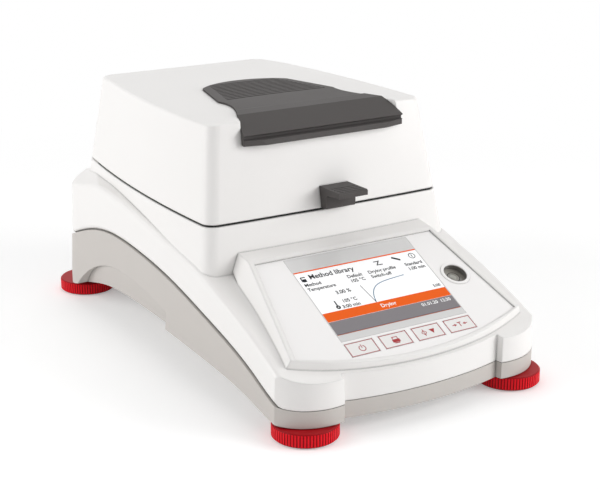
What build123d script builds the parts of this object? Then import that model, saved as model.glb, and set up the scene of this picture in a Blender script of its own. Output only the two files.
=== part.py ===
from build123d import *
from math import atan2, cos, degrees, pi, radians, sin, tan
import os

# Moisture analyzer: a precision balance with a halogen heater in its hinged lid.
# Millimetres, +Z up, the front faces -Y. The origin is on the bench, midway between the feet.

os.makedirs("parts", exist_ok=True)

# Housing
body_half = 113.0
body_rear = 184.5
rear_corner = 34.0
front_bow_y = -199.5
front_end = (67.5, -191.0)
pod_inner = (68.5, -196.3)
pod_mid = (98.0, -191.8)
pod_side_y = -177.5
body_draft = 2.7
draft_start_z = 26.0
wall = 2.8
seam_gap = 0.4
crease_round = 4.0
inner_front = -187.5
inner_front_round = 22.0
shoulder_line = [
    (body_rear + 12, 101.0), (172.0, 110.0), (135.0, 112.6), (100.0, 112.9), (54.0, 109.5),
    (10.0, 103.4), (-30.0, 96.1), (-67.0, 89.3), (-94.0, 80.9), (-119.0, 73.0), (-144.0, 63.6),
    (-167.0, 54.1), (-184.0, 46.4), (-206.0, 42.0),
]
seam_line = [
    (body_rear + 12, 48.0), (160.0, 58.7), (118.0, 73.0), (87.0, 78.3), (35.0, 77.2),
    (-21.0, 70.1), (-80.0, 57.1), (-147.0, 37.9), (-178.0, 26.4), (-206.0, 25.0),
]
belly_line = [
    (body_rear + 12, 11.6), (168.0, 13.0), (151.0, 16.4), (110.0, 26.5), (70.0, 31.0), (21.0, 30.6),
    (-18.0, 29.1), (-79.0, 26.0), (-146.0, 18.7), (-178.0, 12.4), (-206.0, 12.4),
]
grip_line = [(146.0, 18.0), (108.0, 43.5), (62.0, 52.8), (-8.0, 45.0)]
grip_foot = [(-19.0, 42.7), (-17.0, 20.0), (146.0, 6.0)]
# the grip is a wedge: nothing at the upper height, this depth from the widest side at the lower one
grip_top_z = 55.0
grip_low_z = 14.0
grip_depth = 10.0

# Lid and the pedestal under it share one tapering outline
seam_z = 122.7
lid_gap = 1.8
lid_top_z = 192.0
low_front, high_front = -71.0, -58.6
low_rear, high_rear = 170.6, 161.6
low_half, high_half = 103.0, 94.0
low_rear_half, high_rear_half = 86.0, 76.5
low_mid_half, high_mid_half = 103.4, 94.2
mid_y = 12.0
front_crown = 2.0
lid_front_round = 10.0
lid_rear_round = 12.0
lid_wall = 2.8
lid_edge_round = 2.2
lid_peak_z = 194.2
lid_side_drop = 2.0
lid_front_drop = 0.8
lid_rear_drop = 3.0

# Visor and its heat louvres, dark, on the lid
visor_rear = 66.0
visor_plan = [(39.0, 51.0), (52.0, 2.0), (61.0, -42.0), (68.5, -60.0), (70.4, -76.0)]
visor_rise = 1.4
visor_seat = 1.6
visor_fit = 0.25
visor_margin = 5.0
visor_nose = [(-34.0, 195.6), (-48.0, 195.2), (-67.6, 183.8), (-65.6, 182.4), (-65.6, 180.6),
              (-70.0, 179.8), (-70.8, 176.0)]
nose_facet = 21.0
nose_facet_top = 180.3
louvre_pitch = 4.8
louvre_width = 2.2
louvre_first_y = 3.0
louvre_count = 12
visor_step_y = -2.0
nose_front_y = -57.0
nose_end_y = -66.6
visor_nose_half = 70.0
# outlines in the Y-Z plane: the seat of the nose in the lid, and the lid's room kept clear of it
nose_seat = [(-44, 210), (-44, 192.2), (-47, 192.2), (-66.4, 182.0), (-90, 182.0), (-90, 210)]
nose_room = [(-44, 210), (-44, 189.4), (-45.6, 189.4), (-65.1, 178.8), (-90, 178.8), (-90, 210)]

# Lid handle
handle_x = 5.0
handle_half = 12.7
handle_top_z = 138.8
handle_low_z = 122.9
handle_stem = 8.0
handle_reach = 24.0
tab_thick = 5.2
groove_count = 4
groove_pitch = 3.8

# Lid hinge
hinge_z = 122.2
hinge_off = 7.0
barrel_radius = 4.2
pin_radius = 1.8
pin_clearance = 0.05
hinge_x = 52.0
hinge_length = 34.0
knuckle_gap = 0.3
leaf_thick = 2.0
leaf_height = 15.0
hinge_web_lift = 1.0

# Control panel
panel_slope = 26.3
panel_centre = (0.0, -136.3, 74.7)
panel_top_s = 47.5
panel_top_half = 78.5
panel_low_s = -44.5
panel_low_half = 96.0
panel_bow_s = -62.0
rim_width = 3.4
rim_height = 1.2
plateau_draft = 24
plateau_depth = 15.0
ledge_angle = 8.0
overlay_thick = 1.2
overlay_fit = 0.2
glass_top_s = 46.0
glass_low_s = -38.6
glass_half = 54.6
glass_thick = 1.8
glass_fit = 0.2
module_depth = 8.0
key_width = 24.0
key_height = 13.0
key_pitch = 28.4
key_s = -47.3
key_fit = 0.25
key_travel = 0.4
key_stem = 2.0
vial_height = 7.0
level_x = 71.0
level_s = 0.0
level_radius = 9.2
bezel_radius = 11.4
level_depth = 12.0

# Weighing chamber and heater
chamber_y = 42.0
tray_half_x = 73.0
tray_half_y = 84.0
tray_corner = 20.0
tray_flange = 5.0
tray_floor_z = 104.0
sheet = 0.8
spindle_radius = 4.0
spindle_hole = 8.0
pan_radius = 45.0
pan_rim = 48.0
pan_rim_low_z = 117.2
pan_sheet = 0.6
pan_floor_z = 110.6
support_radius = 38.0
ring_outer = 62.0
ring_inner = 55.0
ring_height = 8.0
handler_inner = 46.4
handler_outer = 57.0
handler_thick = 3.0
grip_half = 8.0
grip_reach = 78.0
spindle_top_z = 109.0
support_thick = 1.4
heater_hole = 60.0
glass_disc = 3.0
frame_z = 124.6
frame_thick = 3.0
frame_fit = 0.8
skirt_top_z = 132.0
skirt_thick = 2.0
dish_top_z = 155.0
dish_flat = 30.0
lamp_ring = 38.0
lamp_tube = 4.5
lamp_z = 141.0
lamp_end_angle = 22.0
lamp_end_reach = 66.0
holder_size = (13.0, 14.0)
holder_top_z = 150.0
probe_x = 16.0
probe_radius = 1.6
lid_posts = [(78.0, -38.0), (70.0, 146.0)]
lid_post_radius = 4.5
bumper_x, bumper_y = 80.0, -50.0
bumper_radius = 4.0

# Feet
foot_x = 89.5
foot_y = 179.5
wheel_radius = 23.6
wheel_low_z = 0.8
wheel_top_z = 10.9
wheel_ribs = 66
wheel_chamfer = 1.0
rib_cut = 0.55
pad_radius = 16.5
pad_height = 2.4
pad_gap = 0.2
stud_radius = 4.0
stud_clearance = 0.05
stud_top_z = 28.0
insert_radius = 6.5
insert_length = 11.0
boss_radius = 11.0
boss_top_z = 24.6

# Inside the base
chassis_z = 42.0
chassis_thick = 1.5
board_thick = 1.6
cell_width = 26.0
cell_height = 22.0
cell_length = 110.0
cell_low_z = 56.0
cell_end_y = 122.0
mount_length = 30.0
chassis_half = 80.0
chassis_front, chassis_rear = -58.0, 150.0
chassis_posts = [(70.0, -48.0), (70.0, 140.0)]
main_board_z = 36.0
main_board_half = 75.0
main_board_front, main_board_rear = -166.0, -76.0
board_post_inset = 6.0
board_post_radius = 3.5
power_left, power_right = -78.0, -22.0
power_front, power_rear = 84.0, 146.0
spacer_height = 6.0
fan_size = 60.0
fan_depth = 15.0
fan_x = 45.0
fan_z = 74.0
fan_bore = 28.0
rotor_radius = 26.5
hub_radius = 12.0
rotor_gap = 1.0
blade_count = 7
back_left, back_right = -80.0, 6.0
back_low, back_high = 57.0, 99.0
back_thick = 2.0
inlet_x, inlet_z = -54.0, 80.0
inlet_width, inlet_height = 27.4, 19.8
fuse_z = 63.5
fuse_width, fuse_height = 22.0, 8.0
inlet_depth = 24.0
inlet_lip = 5.0
serial_x, serial_z = -18.0, 88.0
serial_cut = (19.2, 10.8)
usb_x, usb_z = -18.0, 74.0
usb_drop = 10.0
usb_b_cut = (8.4, 7.8)
usb_a_cut = (13.2, 5.8)
fan_pin = 1.5
screw_radius = 2.0
screw_head = 3.8
screw_spots = [(93.0, -142.0), (93.0, 118.0)]
screw_join_z = [44.0, 62.0]
screw_post = 5.5
screw_head_z = [22.5, 28.5]
screw_bite = 12.0
vent_pitch = 6.2
vent_slot = 3.2
belly_vent_length = 70.0
belly_vents = 7
lip_height = 3.0
lip_thick = 1.5
lip_fit = 0.25

panel_plane = Plane(origin=panel_centre, x_dir=(1, 0, 0),
                    z_dir=(0, -sin(radians(panel_slope)), cos(radians(panel_slope))))
body_reach = body_half + 20


def finish_piece(piece, name):
    piece.label = name
    export_step(piece, f"parts/{name}.step")


def louvre_half(y):
    """Half the length of the heat slot at y, kept inside the visor's flank."""
    (rear_x, rear_y), (front_x, front_y) = visor_plan[0], visor_plan[1]
    flank = front_x + (rear_x - front_x) * (y - front_y) / (rear_y - front_y)
    return flank - visor_margin - 2


def draft_at(z):
    """How far the housing's walls lean in at height z."""
    return (z - draft_start_z) * tan(radians(body_draft))


def lid_value(low, high, z):
    return low + (high - low) * (z - seam_z) / (lid_top_z - seam_z)


def lid_outline(z, inset):
    """The lid's plan at height z, drawn inside the outer skin by inset."""
    front = lid_value(low_front, high_front, z) + inset
    rear = lid_value(low_rear, high_rear, z) - inset
    half = lid_value(low_half, high_half, z) - inset
    rear_half = lid_value(low_rear_half, high_rear_half, z) - inset
    middle = lid_value(low_mid_half, high_mid_half, z) - inset
    with BuildSketch(Plane.XY.offset(z)) as outline:
        with BuildLine():
            ThreePointArc((-half, front), (0, front - front_crown), (half, front))
            ThreePointArc((half, front), (middle, mid_y), (rear_half, rear))
            Line((rear_half, rear), (-rear_half, rear))
            ThreePointArc((-rear_half, rear), (-middle, mid_y), (-half, front))
        make_face()
        fillet(outline.vertices().group_by(Axis.Y)[0], lid_front_round - inset)
        fillet(outline.vertices().group_by(Axis.Y)[-1], lid_rear_round - inset)
    return outline.sketch


def lid_column(low_z, high_z, inset):
    """A solid that fills the lid's tapering outline between two heights."""
    with BuildPart() as column:
        loft([lid_outline(low_z, inset).face(), lid_outline(high_z, inset).face()])
    return column.part


def under_lid_top(drop):
    """Everything below the lid's crowned top, lowered by drop."""
    peak = lid_peak_z - drop
    side = high_mid_half + 4
    with BuildPart() as block:
        with BuildSketch(Plane.XZ) as across:
            with BuildLine():
                ThreePointArc((-side, peak - lid_side_drop), (0, peak), (side, peak - lid_side_drop))
                Polyline((side, peak - lid_side_drop), (side + 20, peak - lid_side_drop - 2),
                         (side + 20, 60), (-side - 20, 60), (-side - 20, peak - lid_side_drop - 2),
                         (-side, peak - lid_side_drop))
            make_face()
        extrude(amount=240, both=True)
        with BuildSketch(Plane.YZ) as along:
            with BuildLine():
                ThreePointArc((low_front - 14, peak - lid_front_drop), (30, peak),
                              (low_rear + 4, peak - lid_rear_drop))
                Polyline((low_rear + 4, peak - lid_rear_drop), (low_rear + 4, 60),
                         (low_front - 14, 60), (low_front - 14, peak - lid_front_drop))
            make_face()
        extrude(amount=140, both=True, mode=Mode.INTERSECT)
    return block.part


def body_plan(z):
    """The housing's plan: bowed front, a foot pod at each front corner, round rear corners."""
    px, py = pod_inner
    ex, ey = front_end
    with BuildSketch(Plane.XY.offset(z)) as plan:
        with BuildLine():
            ThreePointArc((-ex, ey), (0, front_bow_y), (ex, ey))
            Line((ex, ey), (px, py))
            ThreePointArc((px, py), pod_mid, (body_half, pod_side_y))
            Polyline((body_half, pod_side_y), (body_half, body_rear), (-body_half, body_rear),
                     (-body_half, pod_side_y))
            ThreePointArc((-body_half, pod_side_y), (-pod_mid[0], pod_mid[1]), (-px, py))
            Line((-px, py), (-ex, ey))
        make_face()
        fillet(plan.vertices().group_by(Axis.Y)[-1], rear_corner)
    return plan.sketch


def inner_plan(z, inset):
    """The plan of the room inside the housing's walls."""
    half = body_half - inset
    with BuildSketch(Plane.XY.offset(z)) as plan:
        with BuildLine():
            Polyline((-half, inner_front), (half, inner_front), (half, body_rear - inset),
                     (-half, body_rear - inset), close=True)
        make_face()
        fillet(plan.vertices().group_by(Axis.Y)[0], inner_front_round)
        fillet(plan.vertices().group_by(Axis.Y)[-1], rear_corner - inset)
    return plan.sketch


def side_band(upper, lower, rise_upper, rise_lower):
    """The side view between two lines, each moved up by its rise, as a sketch."""
    top = [(y, z + rise_upper) for y, z in upper]
    low = [(y, z + rise_lower) for y, z in lower]
    with BuildSketch(Plane.YZ) as band:
        with BuildLine():
            Spline(*top)
            Line(top[-1], low[-1])
            Spline(*low)
            Line(low[0], top[0])
        make_face()
    return band.sketch


def rear_corner_cut(drop, side):
    """A block above the sloping plane that lowers the shoulder at one rear corner."""
    near = Vector(side * (body_half - 4), 100.0, 113.5 - drop)
    rear = Vector(side * (body_half - 4), 171.0, 100.5 - drop)
    inner = Vector(side * (low_rear_half - 1), 172.0, 110.5 - drop)
    normal = (rear - near).cross(inner - near).normalized()
    if normal.Z < 0:
        normal = normal * -1
    with BuildPart() as cut:
        with BuildSketch(Plane(origin=rear, x_dir=(rear - near).normalized(), z_dir=normal)):
            Rectangle(300, 120)
        extrude(amount=60)
    return cut.part


def panel_outline(margin, reach_up):
    """The panel's trapezoid with its bowed lower edge, on the panel plane, grown by margin."""
    lean = (panel_low_half - panel_top_half) / (panel_top_s - panel_low_s)
    top_s = panel_top_s + margin + reach_up
    top_half = panel_top_half + margin - lean * reach_up
    low_half_here = panel_low_half + margin
    low_s = panel_low_s
    bow_s = panel_bow_s - margin
    with BuildSketch(panel_plane) as outline:
        with BuildLine():
            Polyline((-low_half_here, low_s), (-top_half, top_s), (top_half, top_s),
                     (low_half_here, low_s))
            ThreePointArc((low_half_here, low_s), (0, bow_s), (-low_half_here, low_s))
        make_face()
    return outline.sketch


def ledge_block(rise):
    """A block above the ledge between the panel's top edge and the pedestal."""
    hinge_point = panel_plane.from_local_coords(Vector(0, panel_top_s + rim_width, rim_height + rise))
    with BuildPart() as block:
        with BuildSketch(Plane(origin=hinge_point, x_dir=(1, 0, 0),
                               z_dir=(0, -sin(radians(ledge_angle)), cos(radians(ledge_angle))))):
            with Locations((0, 60)):
                Rectangle(260, 120)
        extrude(amount=60)
    return block.part


def plateau_block(sink, inset):
    """The raised block that carries the panel, sunk by sink and drawn in by inset."""
    with BuildPart() as plateau:
        outline = panel_outline(rim_width - inset, 34.0)
        extrude(outline.moved(Location(panel_plane.z_dir * (rim_height - sink))), amount=-plateau_depth,
                taper=-plateau_draft)
        add(ledge_block(-sink), mode=Mode.SUBTRACT)
    return plateau.part


def drafted(plan, low_z):
    """A block on a plan: upright below the draft line and leaning in above it."""
    with BuildPart() as block:
        extrude(plan, amount=120, taper=body_draft)
        extrude(plan, amount=low_z - draft_start_z)
    return block.part


def between(upper, lower, rise_upper, rise_lower):
    """The slab between two side-view lines, as wide as the whole body."""
    with BuildPart() as slab:
        extrude(side_band(upper, lower, rise_upper, rise_lower), amount=body_reach, both=True)
    return slab.part


def panel_place(x, s, rise=0.0):
    """A plane on the control panel at x and s, with rise along the panel's normal."""
    return Plane(origin=panel_plane.from_local_coords(Vector(x, s, rise)), x_dir=(1, 0, 0),
                 z_dir=panel_plane.z_dir)


def rear_place(x, z, sink=0.0):
    """A plane on the leaning rear wall, facing out, with its first axis towards -X."""
    lean = radians(body_draft)
    normal = Vector(0, cos(lean), sin(lean))
    surface = Vector(x, body_rear - tan(lean) * (z - draft_start_z), z)
    return Plane(origin=surface - normal * sink, x_dir=(-1, 0, 0), z_dir=normal)


def disc(plane, radius, depth):
    with BuildPart() as block:
        with BuildSketch(plane):
            Circle(radius)
        extrude(amount=depth)
    return block.part


def plate(plane, width, height, depth, corner=0.0):
    with BuildPart() as block:
        with BuildSketch(plane):
            if corner > 0:
                RectangleRounded(width, height, corner)
            else:
                Rectangle(width, height)
        extrude(amount=depth)
    return block.part


def level_plane(x, y, z):
    return Plane(origin=(x, y, z))


def post(x, y, radius, low_z, high_z):
    return disc(level_plane(x, y, low_z), radius, high_z - low_z)


def tube(x, y, outer, inner, low_z, high_z):
    with BuildPart() as ring:
        with BuildSketch(level_plane(x, y, low_z)):
            Circle(outer)
            Circle(inner, mode=Mode.SUBTRACT)
        extrude(amount=high_z - low_z)
    return ring.part


def box_block(x_range, y_range, z_range):
    centre_x = (x_range[0] + x_range[1]) / 2
    centre_y = (y_range[0] + y_range[1]) / 2
    return plate(level_plane(centre_x, centre_y, z_range[0]), x_range[1] - x_range[0],
                 y_range[1] - y_range[0], z_range[1] - z_range[0])


key_xs = [key_pitch * (index - 1.5) for index in range(4)]
key_names = ["key_power", "key_print", "key_start", "key_tare"]
foot_spots = {"front_left": (-foot_x, -foot_y), "front_right": (foot_x, -foot_y),
              "rear_left": (-foot_x, foot_y), "rear_right": (foot_x, foot_y)}
screw_places = [(sign * x, y, join, head) for (x, y), join, head
                in zip(screw_spots, screw_join_z, screw_head_z) for sign in (-1, 1)]
pedestal_top = seam_z - lid_gap
tray_opening = (2 * tray_half_x, 2 * tray_half_y)
tray_rim = (2 * (tray_half_x + tray_flange), 2 * (tray_half_y + tray_flange))
ring_top_z = tray_floor_z + sheet + ring_height

# Room inside the upper housing
with BuildPart() as upper_room:
    add(drafted(inner_plan(draft_start_z, wall), 0))
    add(between(shoulder_line, belly_line, -wall, -6), mode=Mode.INTERSECT)
    for side in (-1, 1):
        add(rear_corner_cut(wall, side), mode=Mode.SUBTRACT)
    add(plateau_block(wall + rim_height, rim_width + 0.6))
    add(lid_column(80.0, pedestal_top - wall, wall))

# Outer form of the upper housing
with BuildPart() as upper_form:
    add(drafted(body_plan(draft_start_z), 12))
    add(between(shoulder_line, seam_line, 0, 0), mode=Mode.INTERSECT)
    for side in (-1, 1):
        add(rear_corner_cut(0, side), mode=Mode.SUBTRACT)
    crease = [edge for edge in upper_form.edges()
              if edge.length > 40 and abs(edge.center().X) > 90 and edge.center().Z > 62
              and edge.center().Y > -170]
    fillet(crease, crease_round)
    add(plateau_block(0, 0))
    add(lid_column(84.0, pedestal_top, 0))

with BuildPart() as upper_posts:
    for x, y, join, head in screw_places:
        add(post(x, y, screw_post, join, 150))
    add(upper_form.part, mode=Mode.INTERSECT)
    for x, y, join, head in screw_places:
        add(post(x, y, screw_radius, join, join + screw_bite), mode=Mode.SUBTRACT)

# Upper housing: white shell with the pedestal under the lid and the control plateau
with BuildPart() as upper_housing:
    add(upper_form.part)
    add(upper_room.part, mode=Mode.SUBTRACT)
    add(upper_posts.part)
    # chamber opening with a rebate for the tray's flange
    add(plate(level_plane(0, chamber_y, pedestal_top - 20), *tray_opening, 30, tray_corner),
        mode=Mode.SUBTRACT)
    add(plate(level_plane(0, chamber_y, pedestal_top - sheet), tray_rim[0] + 0.4, tray_rim[1] + 0.4, 5,
              tray_corner + tray_flange), mode=Mode.SUBTRACT)
    # recess for the panel overlay and the openings behind it
    extrude(panel_outline(0, 0).moved(Location(panel_plane.z_dir * (-overlay_thick))), amount=10,
            dir=panel_plane.z_dir, mode=Mode.SUBTRACT)
    glass_mid = (glass_top_s + glass_low_s) / 2
    glass_height = glass_top_s - glass_low_s
    add(plate(panel_place(0, glass_mid, -6), 2 * glass_half + 2 * glass_fit,
              glass_height + 2 * glass_fit, 8), mode=Mode.SUBTRACT)
    for x in key_xs:
        add(plate(panel_place(x, key_s, -6), key_width, key_height, 8), mode=Mode.SUBTRACT)
    add(disc(panel_place(level_x, level_s, -6), level_radius + 1.0 + overlay_fit, 8), mode=Mode.SUBTRACT)
    # rear wall: connector panel window and fan grille
    add(box_block((back_left, back_right), (150, 200), (back_low, back_high)), mode=Mode.SUBTRACT)
    for index in range(-4, 5):
        with BuildSketch(rear_place(fan_x, fan_z)):
            with Locations((0, index * vent_pitch)):
                half_chord = (fan_bore ** 2 - (index * vent_pitch) ** 2) ** 0.5
                SlotOverall(2 * half_chord, vent_slot)
        extrude(amount=-wall * 2, mode=Mode.SUBTRACT)
finish_piece(upper_housing.part, "upper_housing")

# Room inside the lower housing, narrower beside the seam, where the lip stands
with BuildPart() as lower_room:
    add(drafted(inner_plan(draft_start_z, wall), 0))
    add(between(seam_line, belly_line, -6, wall), mode=Mode.INTERSECT)
with BuildPart() as seam_room:
    add(drafted(inner_plan(draft_start_z, wall + lip_fit + lip_thick), 0))
    add(between(seam_line, seam_line, 30, -7), mode=Mode.INTERSECT)
with BuildPart() as lip:
    add(drafted(inner_plan(draft_start_z, wall + lip_fit), 0))
    add(drafted(inner_plan(draft_start_z, wall + lip_fit + lip_thick), 0), mode=Mode.SUBTRACT)
    add(between(seam_line, seam_line, lip_height, -6), mode=Mode.INTERSECT)
with BuildPart() as lower_form:
    add(drafted(body_plan(draft_start_z), 5))
    add(between(seam_line, belly_line, -seam_gap, 0), mode=Mode.INTERSECT)


def grip_wedge(side, margin):
    """The hand grip at one side, deeper towards the belly, grown by margin inwards and all round."""
    upper = body_half - draft_at(grip_top_z)
    with BuildPart() as wedge:
        with BuildSketch(Plane.YZ.offset(side * (body_half + 1))):
            with BuildLine():
                crown = ThreePointArc(*grip_line[:3])
                TangentArc(grip_line[2], grip_line[3], tangent=crown % 1)
                Polyline(grip_line[3], *grip_foot, grip_line[0])
            make_face()
            if margin:
                offset(amount=margin)
        extrude(amount=-side * 40)
        with BuildSketch(Plane.XZ):
            with BuildLine():
                Polyline((side * (body_half + 2), grip_top_z), (side * (upper - margin), grip_top_z),
                         (side * (body_half - grip_depth - margin), grip_low_z),
                         (side * (body_half - grip_depth - margin), 0), (side * (body_half + 2), 0),
                         close=True)
            make_face()
        extrude(amount=body_rear, both=True, mode=Mode.INTERSECT)
    return wedge.part


def belly_vent(index):
    """One slot through the floor of the lower housing."""
    with BuildPart() as slot:
        with BuildSketch(Plane.XY):
            with Locations((0, index * 2 * vent_pitch - 20)):
                SlotOverall(belly_vent_length, vent_slot)
        extrude(amount=56)
    return slot.part


# Posts that stand on the floor of the lower housing, cut off where the belly ends
with BuildPart() as lower_posts:
    for x, y, join, head in screw_places:
        add(post(x, y, screw_post, 10, join - seam_gap))
    for x, y in chassis_posts:
        for sign in (-1, 1):
            add(post(sign * x, y, screw_post, 10, chassis_z))
    for x in (-main_board_half + board_post_inset, main_board_half - board_post_inset):
        for y in (main_board_front + board_post_inset, main_board_rear - board_post_inset):
            add(post(x, y, board_post_radius, 10, main_board_z))
    for x, y in foot_spots.values():
        add(post(x, y, boss_radius, 10, boss_top_z))
    add(between(shoulder_line, belly_line, 0, 0), mode=Mode.INTERSECT)

# The wall goes on inside behind the hand grips
with BuildPart() as grip_backing:
    for side in (-1, 1):
        add(grip_wedge(side, wall))
    add(lower_form.part, mode=Mode.INTERSECT)

# The lip stops short where the fan and the connector panel stand against the rear wall
with BuildPart() as rear_clearance:
    add(drafted(inner_plan(draft_start_z, wall), 0))
    add(box_block((back_left - 4, fan_x + fan_size / 2 + 3), (150, 200), (36, 90)), mode=Mode.INTERSECT)

# Lower housing: grey tray with the side grips, foot bosses and posts
with BuildPart() as lower_housing:
    add(lower_form.part)
    add(lower_room.part, mode=Mode.SUBTRACT)
    add(seam_room.part, mode=Mode.SUBTRACT)
    add(lip.part)
    add(rear_clearance.part, mode=Mode.SUBTRACT)
    add(lower_posts.part)
    add(grip_backing.part)
    for side in (-1, 1):
        add(grip_wedge(side, 0), mode=Mode.SUBTRACT)
    for x, y in foot_spots.values():
        add(post(x, y, insert_radius, 5, boss_top_z + 5), mode=Mode.SUBTRACT)
    for x, y, join, head in screw_places:
        add(post(x, y, screw_radius + 0.2, 5, join + 5), mode=Mode.SUBTRACT)
        add(post(x, y, screw_head + 0.4, 5, head + 2.5), mode=Mode.SUBTRACT)
    for index in range(belly_vents):
        add(belly_vent(index), mode=Mode.SUBTRACT)
finish_piece(lower_housing.part, "lower_housing")

# Connector panel in the rear wall, following the wall's lean
with BuildPart() as rear_panel:
    add(drafted(body_plan(draft_start_z), 12))
    add(drafted(inner_plan(draft_start_z, wall), 0), mode=Mode.SUBTRACT)
    add(box_block((back_left + 0.2, back_right - 0.2), (150, 200), (back_low + 0.2, back_high - 0.2)),
        mode=Mode.INTERSECT)
with BuildPart() as rear_flange:
    add(drafted(inner_plan(draft_start_z, wall), 0))
    add(drafted(inner_plan(draft_start_z, wall + back_thick), 0), mode=Mode.SUBTRACT)
    add(box_block((back_left + 0.2, back_right + 4), (150, 200), (back_low - 3, back_high + 3)),
        mode=Mode.INTERSECT)
inlet_cut = (inlet_width, inlet_height)
with BuildPart() as rear_panel_cut:
    add(rear_panel.part)
    add(rear_flange.part)
    for x, z, size in ((inlet_x, inlet_z, inlet_cut), (inlet_x, fuse_z, (fuse_width, fuse_height)),
                       (serial_x, serial_z, serial_cut), (usb_x, usb_z, usb_b_cut),
                       (usb_x, usb_z - usb_drop, usb_a_cut)):
        add(plate(rear_place(x, z, 20), size[0] + 0.2, size[1] + 0.2, 40), mode=Mode.SUBTRACT)
finish_piece(rear_panel_cut.part, "rear_panel")

# Mains inlet: flanged socket with three blades in its cavity
with BuildPart() as power_inlet:
    add(plate(rear_place(inlet_x, inlet_z, inlet_depth), *inlet_cut, inlet_depth))
    add(plate(rear_place(inlet_x, inlet_z), inlet_width + 2 * inlet_lip, inlet_height + 3, 1.6, 1.5))
    add(plate(rear_place(inlet_x, inlet_z, inlet_depth - 3), inlet_width - 3.4, inlet_height - 3.8,
              inlet_depth + 10, 3), mode=Mode.SUBTRACT)
    for across, up in ((-7, 1.5), (0, -2.5), (7, 1.5)):
        with BuildSketch(rear_place(inlet_x, inlet_z, inlet_depth - 3)):
            with Locations((across, up)):
                Rectangle(2, 4)
        extrude(amount=inlet_depth - 6)
finish_piece(power_inlet.part, "power_inlet")

with BuildPart() as fuse_drawer:
    add(plate(rear_place(inlet_x, fuse_z, 18), fuse_width, fuse_height, 18))
    add(plate(rear_place(inlet_x, fuse_z), fuse_width + 3, fuse_height + 2, 1.2, 1))
    with BuildSketch(rear_place(inlet_x, fuse_z, -1.2)):
        Rectangle(8, 2)
    extrude(amount=1.2)
finish_piece(fuse_drawer.part, "fuse_drawer")

with BuildPart() as serial_port:
    add(plate(rear_place(serial_x, serial_z, 12), *serial_cut, 12, 2))
    add(plate(rear_place(serial_x, serial_z), serial_cut[0] + 12, serial_cut[1] + 2, 0.8, 1))
    add(plate(rear_place(serial_x, serial_z, -0.8), serial_cut[0] - 3, serial_cut[1] - 2.4, 4.5, 3))
    with BuildSketch(rear_place(serial_x, serial_z, -5.3)):
        for row, count in ((1.4, 5), (-1.4, 4)):
            with Locations((0, row)):
                with GridLocations(2.7, 1, count, 1):
                    Circle(0.55)
    extrude(amount=-4, mode=Mode.SUBTRACT)
finish_piece(serial_port.part, "serial_port")

with BuildPart() as usb_ports:
    for z, size, tongue in ((usb_z, usb_b_cut, (4.6, 2.6)), (usb_z - usb_drop, usb_a_cut, (10.5, 1.8))):
        add(plate(rear_place(usb_x, z, 14), *size, 14.6))
        add(plate(rear_place(usb_x, z, 10), size[0] - 1.2, size[1] - 1.2, 20), mode=Mode.SUBTRACT)
        with BuildSketch(rear_place(usb_x, z, 10)):
            Rectangle(*tongue)
        extrude(amount=9)
finish_piece(usb_ports.part, "usb_ports")

# Fan against the rear wall's inner face
fan_face = wall
with BuildPart() as fan_frame:
    add(plate(rear_place(fan_x, fan_z, fan_face + fan_depth), fan_size, fan_size, fan_depth, 4))
    add(disc(rear_place(fan_x, fan_z, fan_face + fan_depth - 3), fan_bore, 20), mode=Mode.SUBTRACT)
    with BuildSketch(rear_place(fan_x, fan_z, fan_face + fan_depth)):
        Circle(fan_bore)
        Circle(hub_radius + 1, mode=Mode.SUBTRACT)
        with PolarLocations(0, 4, 45):
            Rectangle(2 * fan_bore, 3, align=(Align.MIN, Align.CENTER), mode=Mode.SUBTRACT)
    extrude(amount=3, mode=Mode.SUBTRACT)
    add(disc(rear_place(fan_x, fan_z, fan_face + fan_depth - 3), fan_pin, fan_depth - 5))
finish_piece(fan_frame.part, "fan_frame")



def blade_outline():
    """A curved blade from the hub to just inside the bore."""
    inner, outer = hub_radius - 1, rotor_radius - 2
    with BuildSketch() as outline:
        with BuildLine():
            ThreePointArc((inner, 0), (19, 3.0), (outer, 9.0))
            Line((outer, 9.0), (outer - 0.8, 11.0))
            ThreePointArc((outer - 0.8, 11.0), (18, 5.2), (inner, 2.0))
            Line((inner, 2.0), (inner, 0))
        make_face()
    return outline.sketch


with BuildPart() as fan_rotor:
    rotor_length = fan_depth - 3 - 2 * rotor_gap
    add(disc(rear_place(fan_x, fan_z, fan_face + fan_depth - 3 - rotor_gap), hub_radius, rotor_length))
    blade_plane = rear_place(fan_x, fan_z, fan_face + fan_depth - 3 - rotor_gap - 0.5)
    with BuildSketch(blade_plane):
        with PolarLocations(0, blade_count):
            add(blade_outline())
    extrude(amount=rotor_length - 1)
    add(disc(rear_place(fan_x, fan_z, fan_face + fan_depth - 3), fan_pin + pin_clearance, 20),
        mode=Mode.SUBTRACT)
finish_piece(fan_rotor.part, "fan_rotor")

# Control panel: overlay, touch glass, display, keys, key board and level
with BuildPart() as panel_overlay:
    extrude(panel_outline(-overlay_fit, 0), amount=-overlay_thick)
    add(plate(panel_place(0, glass_mid, -6), 2 * glass_half + 2 * glass_fit,
              glass_height + 2 * glass_fit, 8), mode=Mode.SUBTRACT)
    for x in key_xs:
        add(plate(panel_place(x, key_s, -6), key_width, key_height, 8), mode=Mode.SUBTRACT)
    add(disc(panel_place(level_x, level_s, -6), bezel_radius + overlay_fit, 8), mode=Mode.SUBTRACT)
finish_piece(panel_overlay.part, "panel_overlay")

with BuildPart() as touch_glass:
    add(plate(panel_place(0, glass_mid, -glass_thick), 2 * glass_half, glass_height, glass_thick))
finish_piece(touch_glass.part, "touch_glass")

with BuildPart() as display_module:
    add(plate(panel_place(0, glass_mid, -glass_thick - module_depth), 2 * glass_half - 2,
              glass_height - 2, module_depth))
finish_piece(display_module.part, "display_module")

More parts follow.
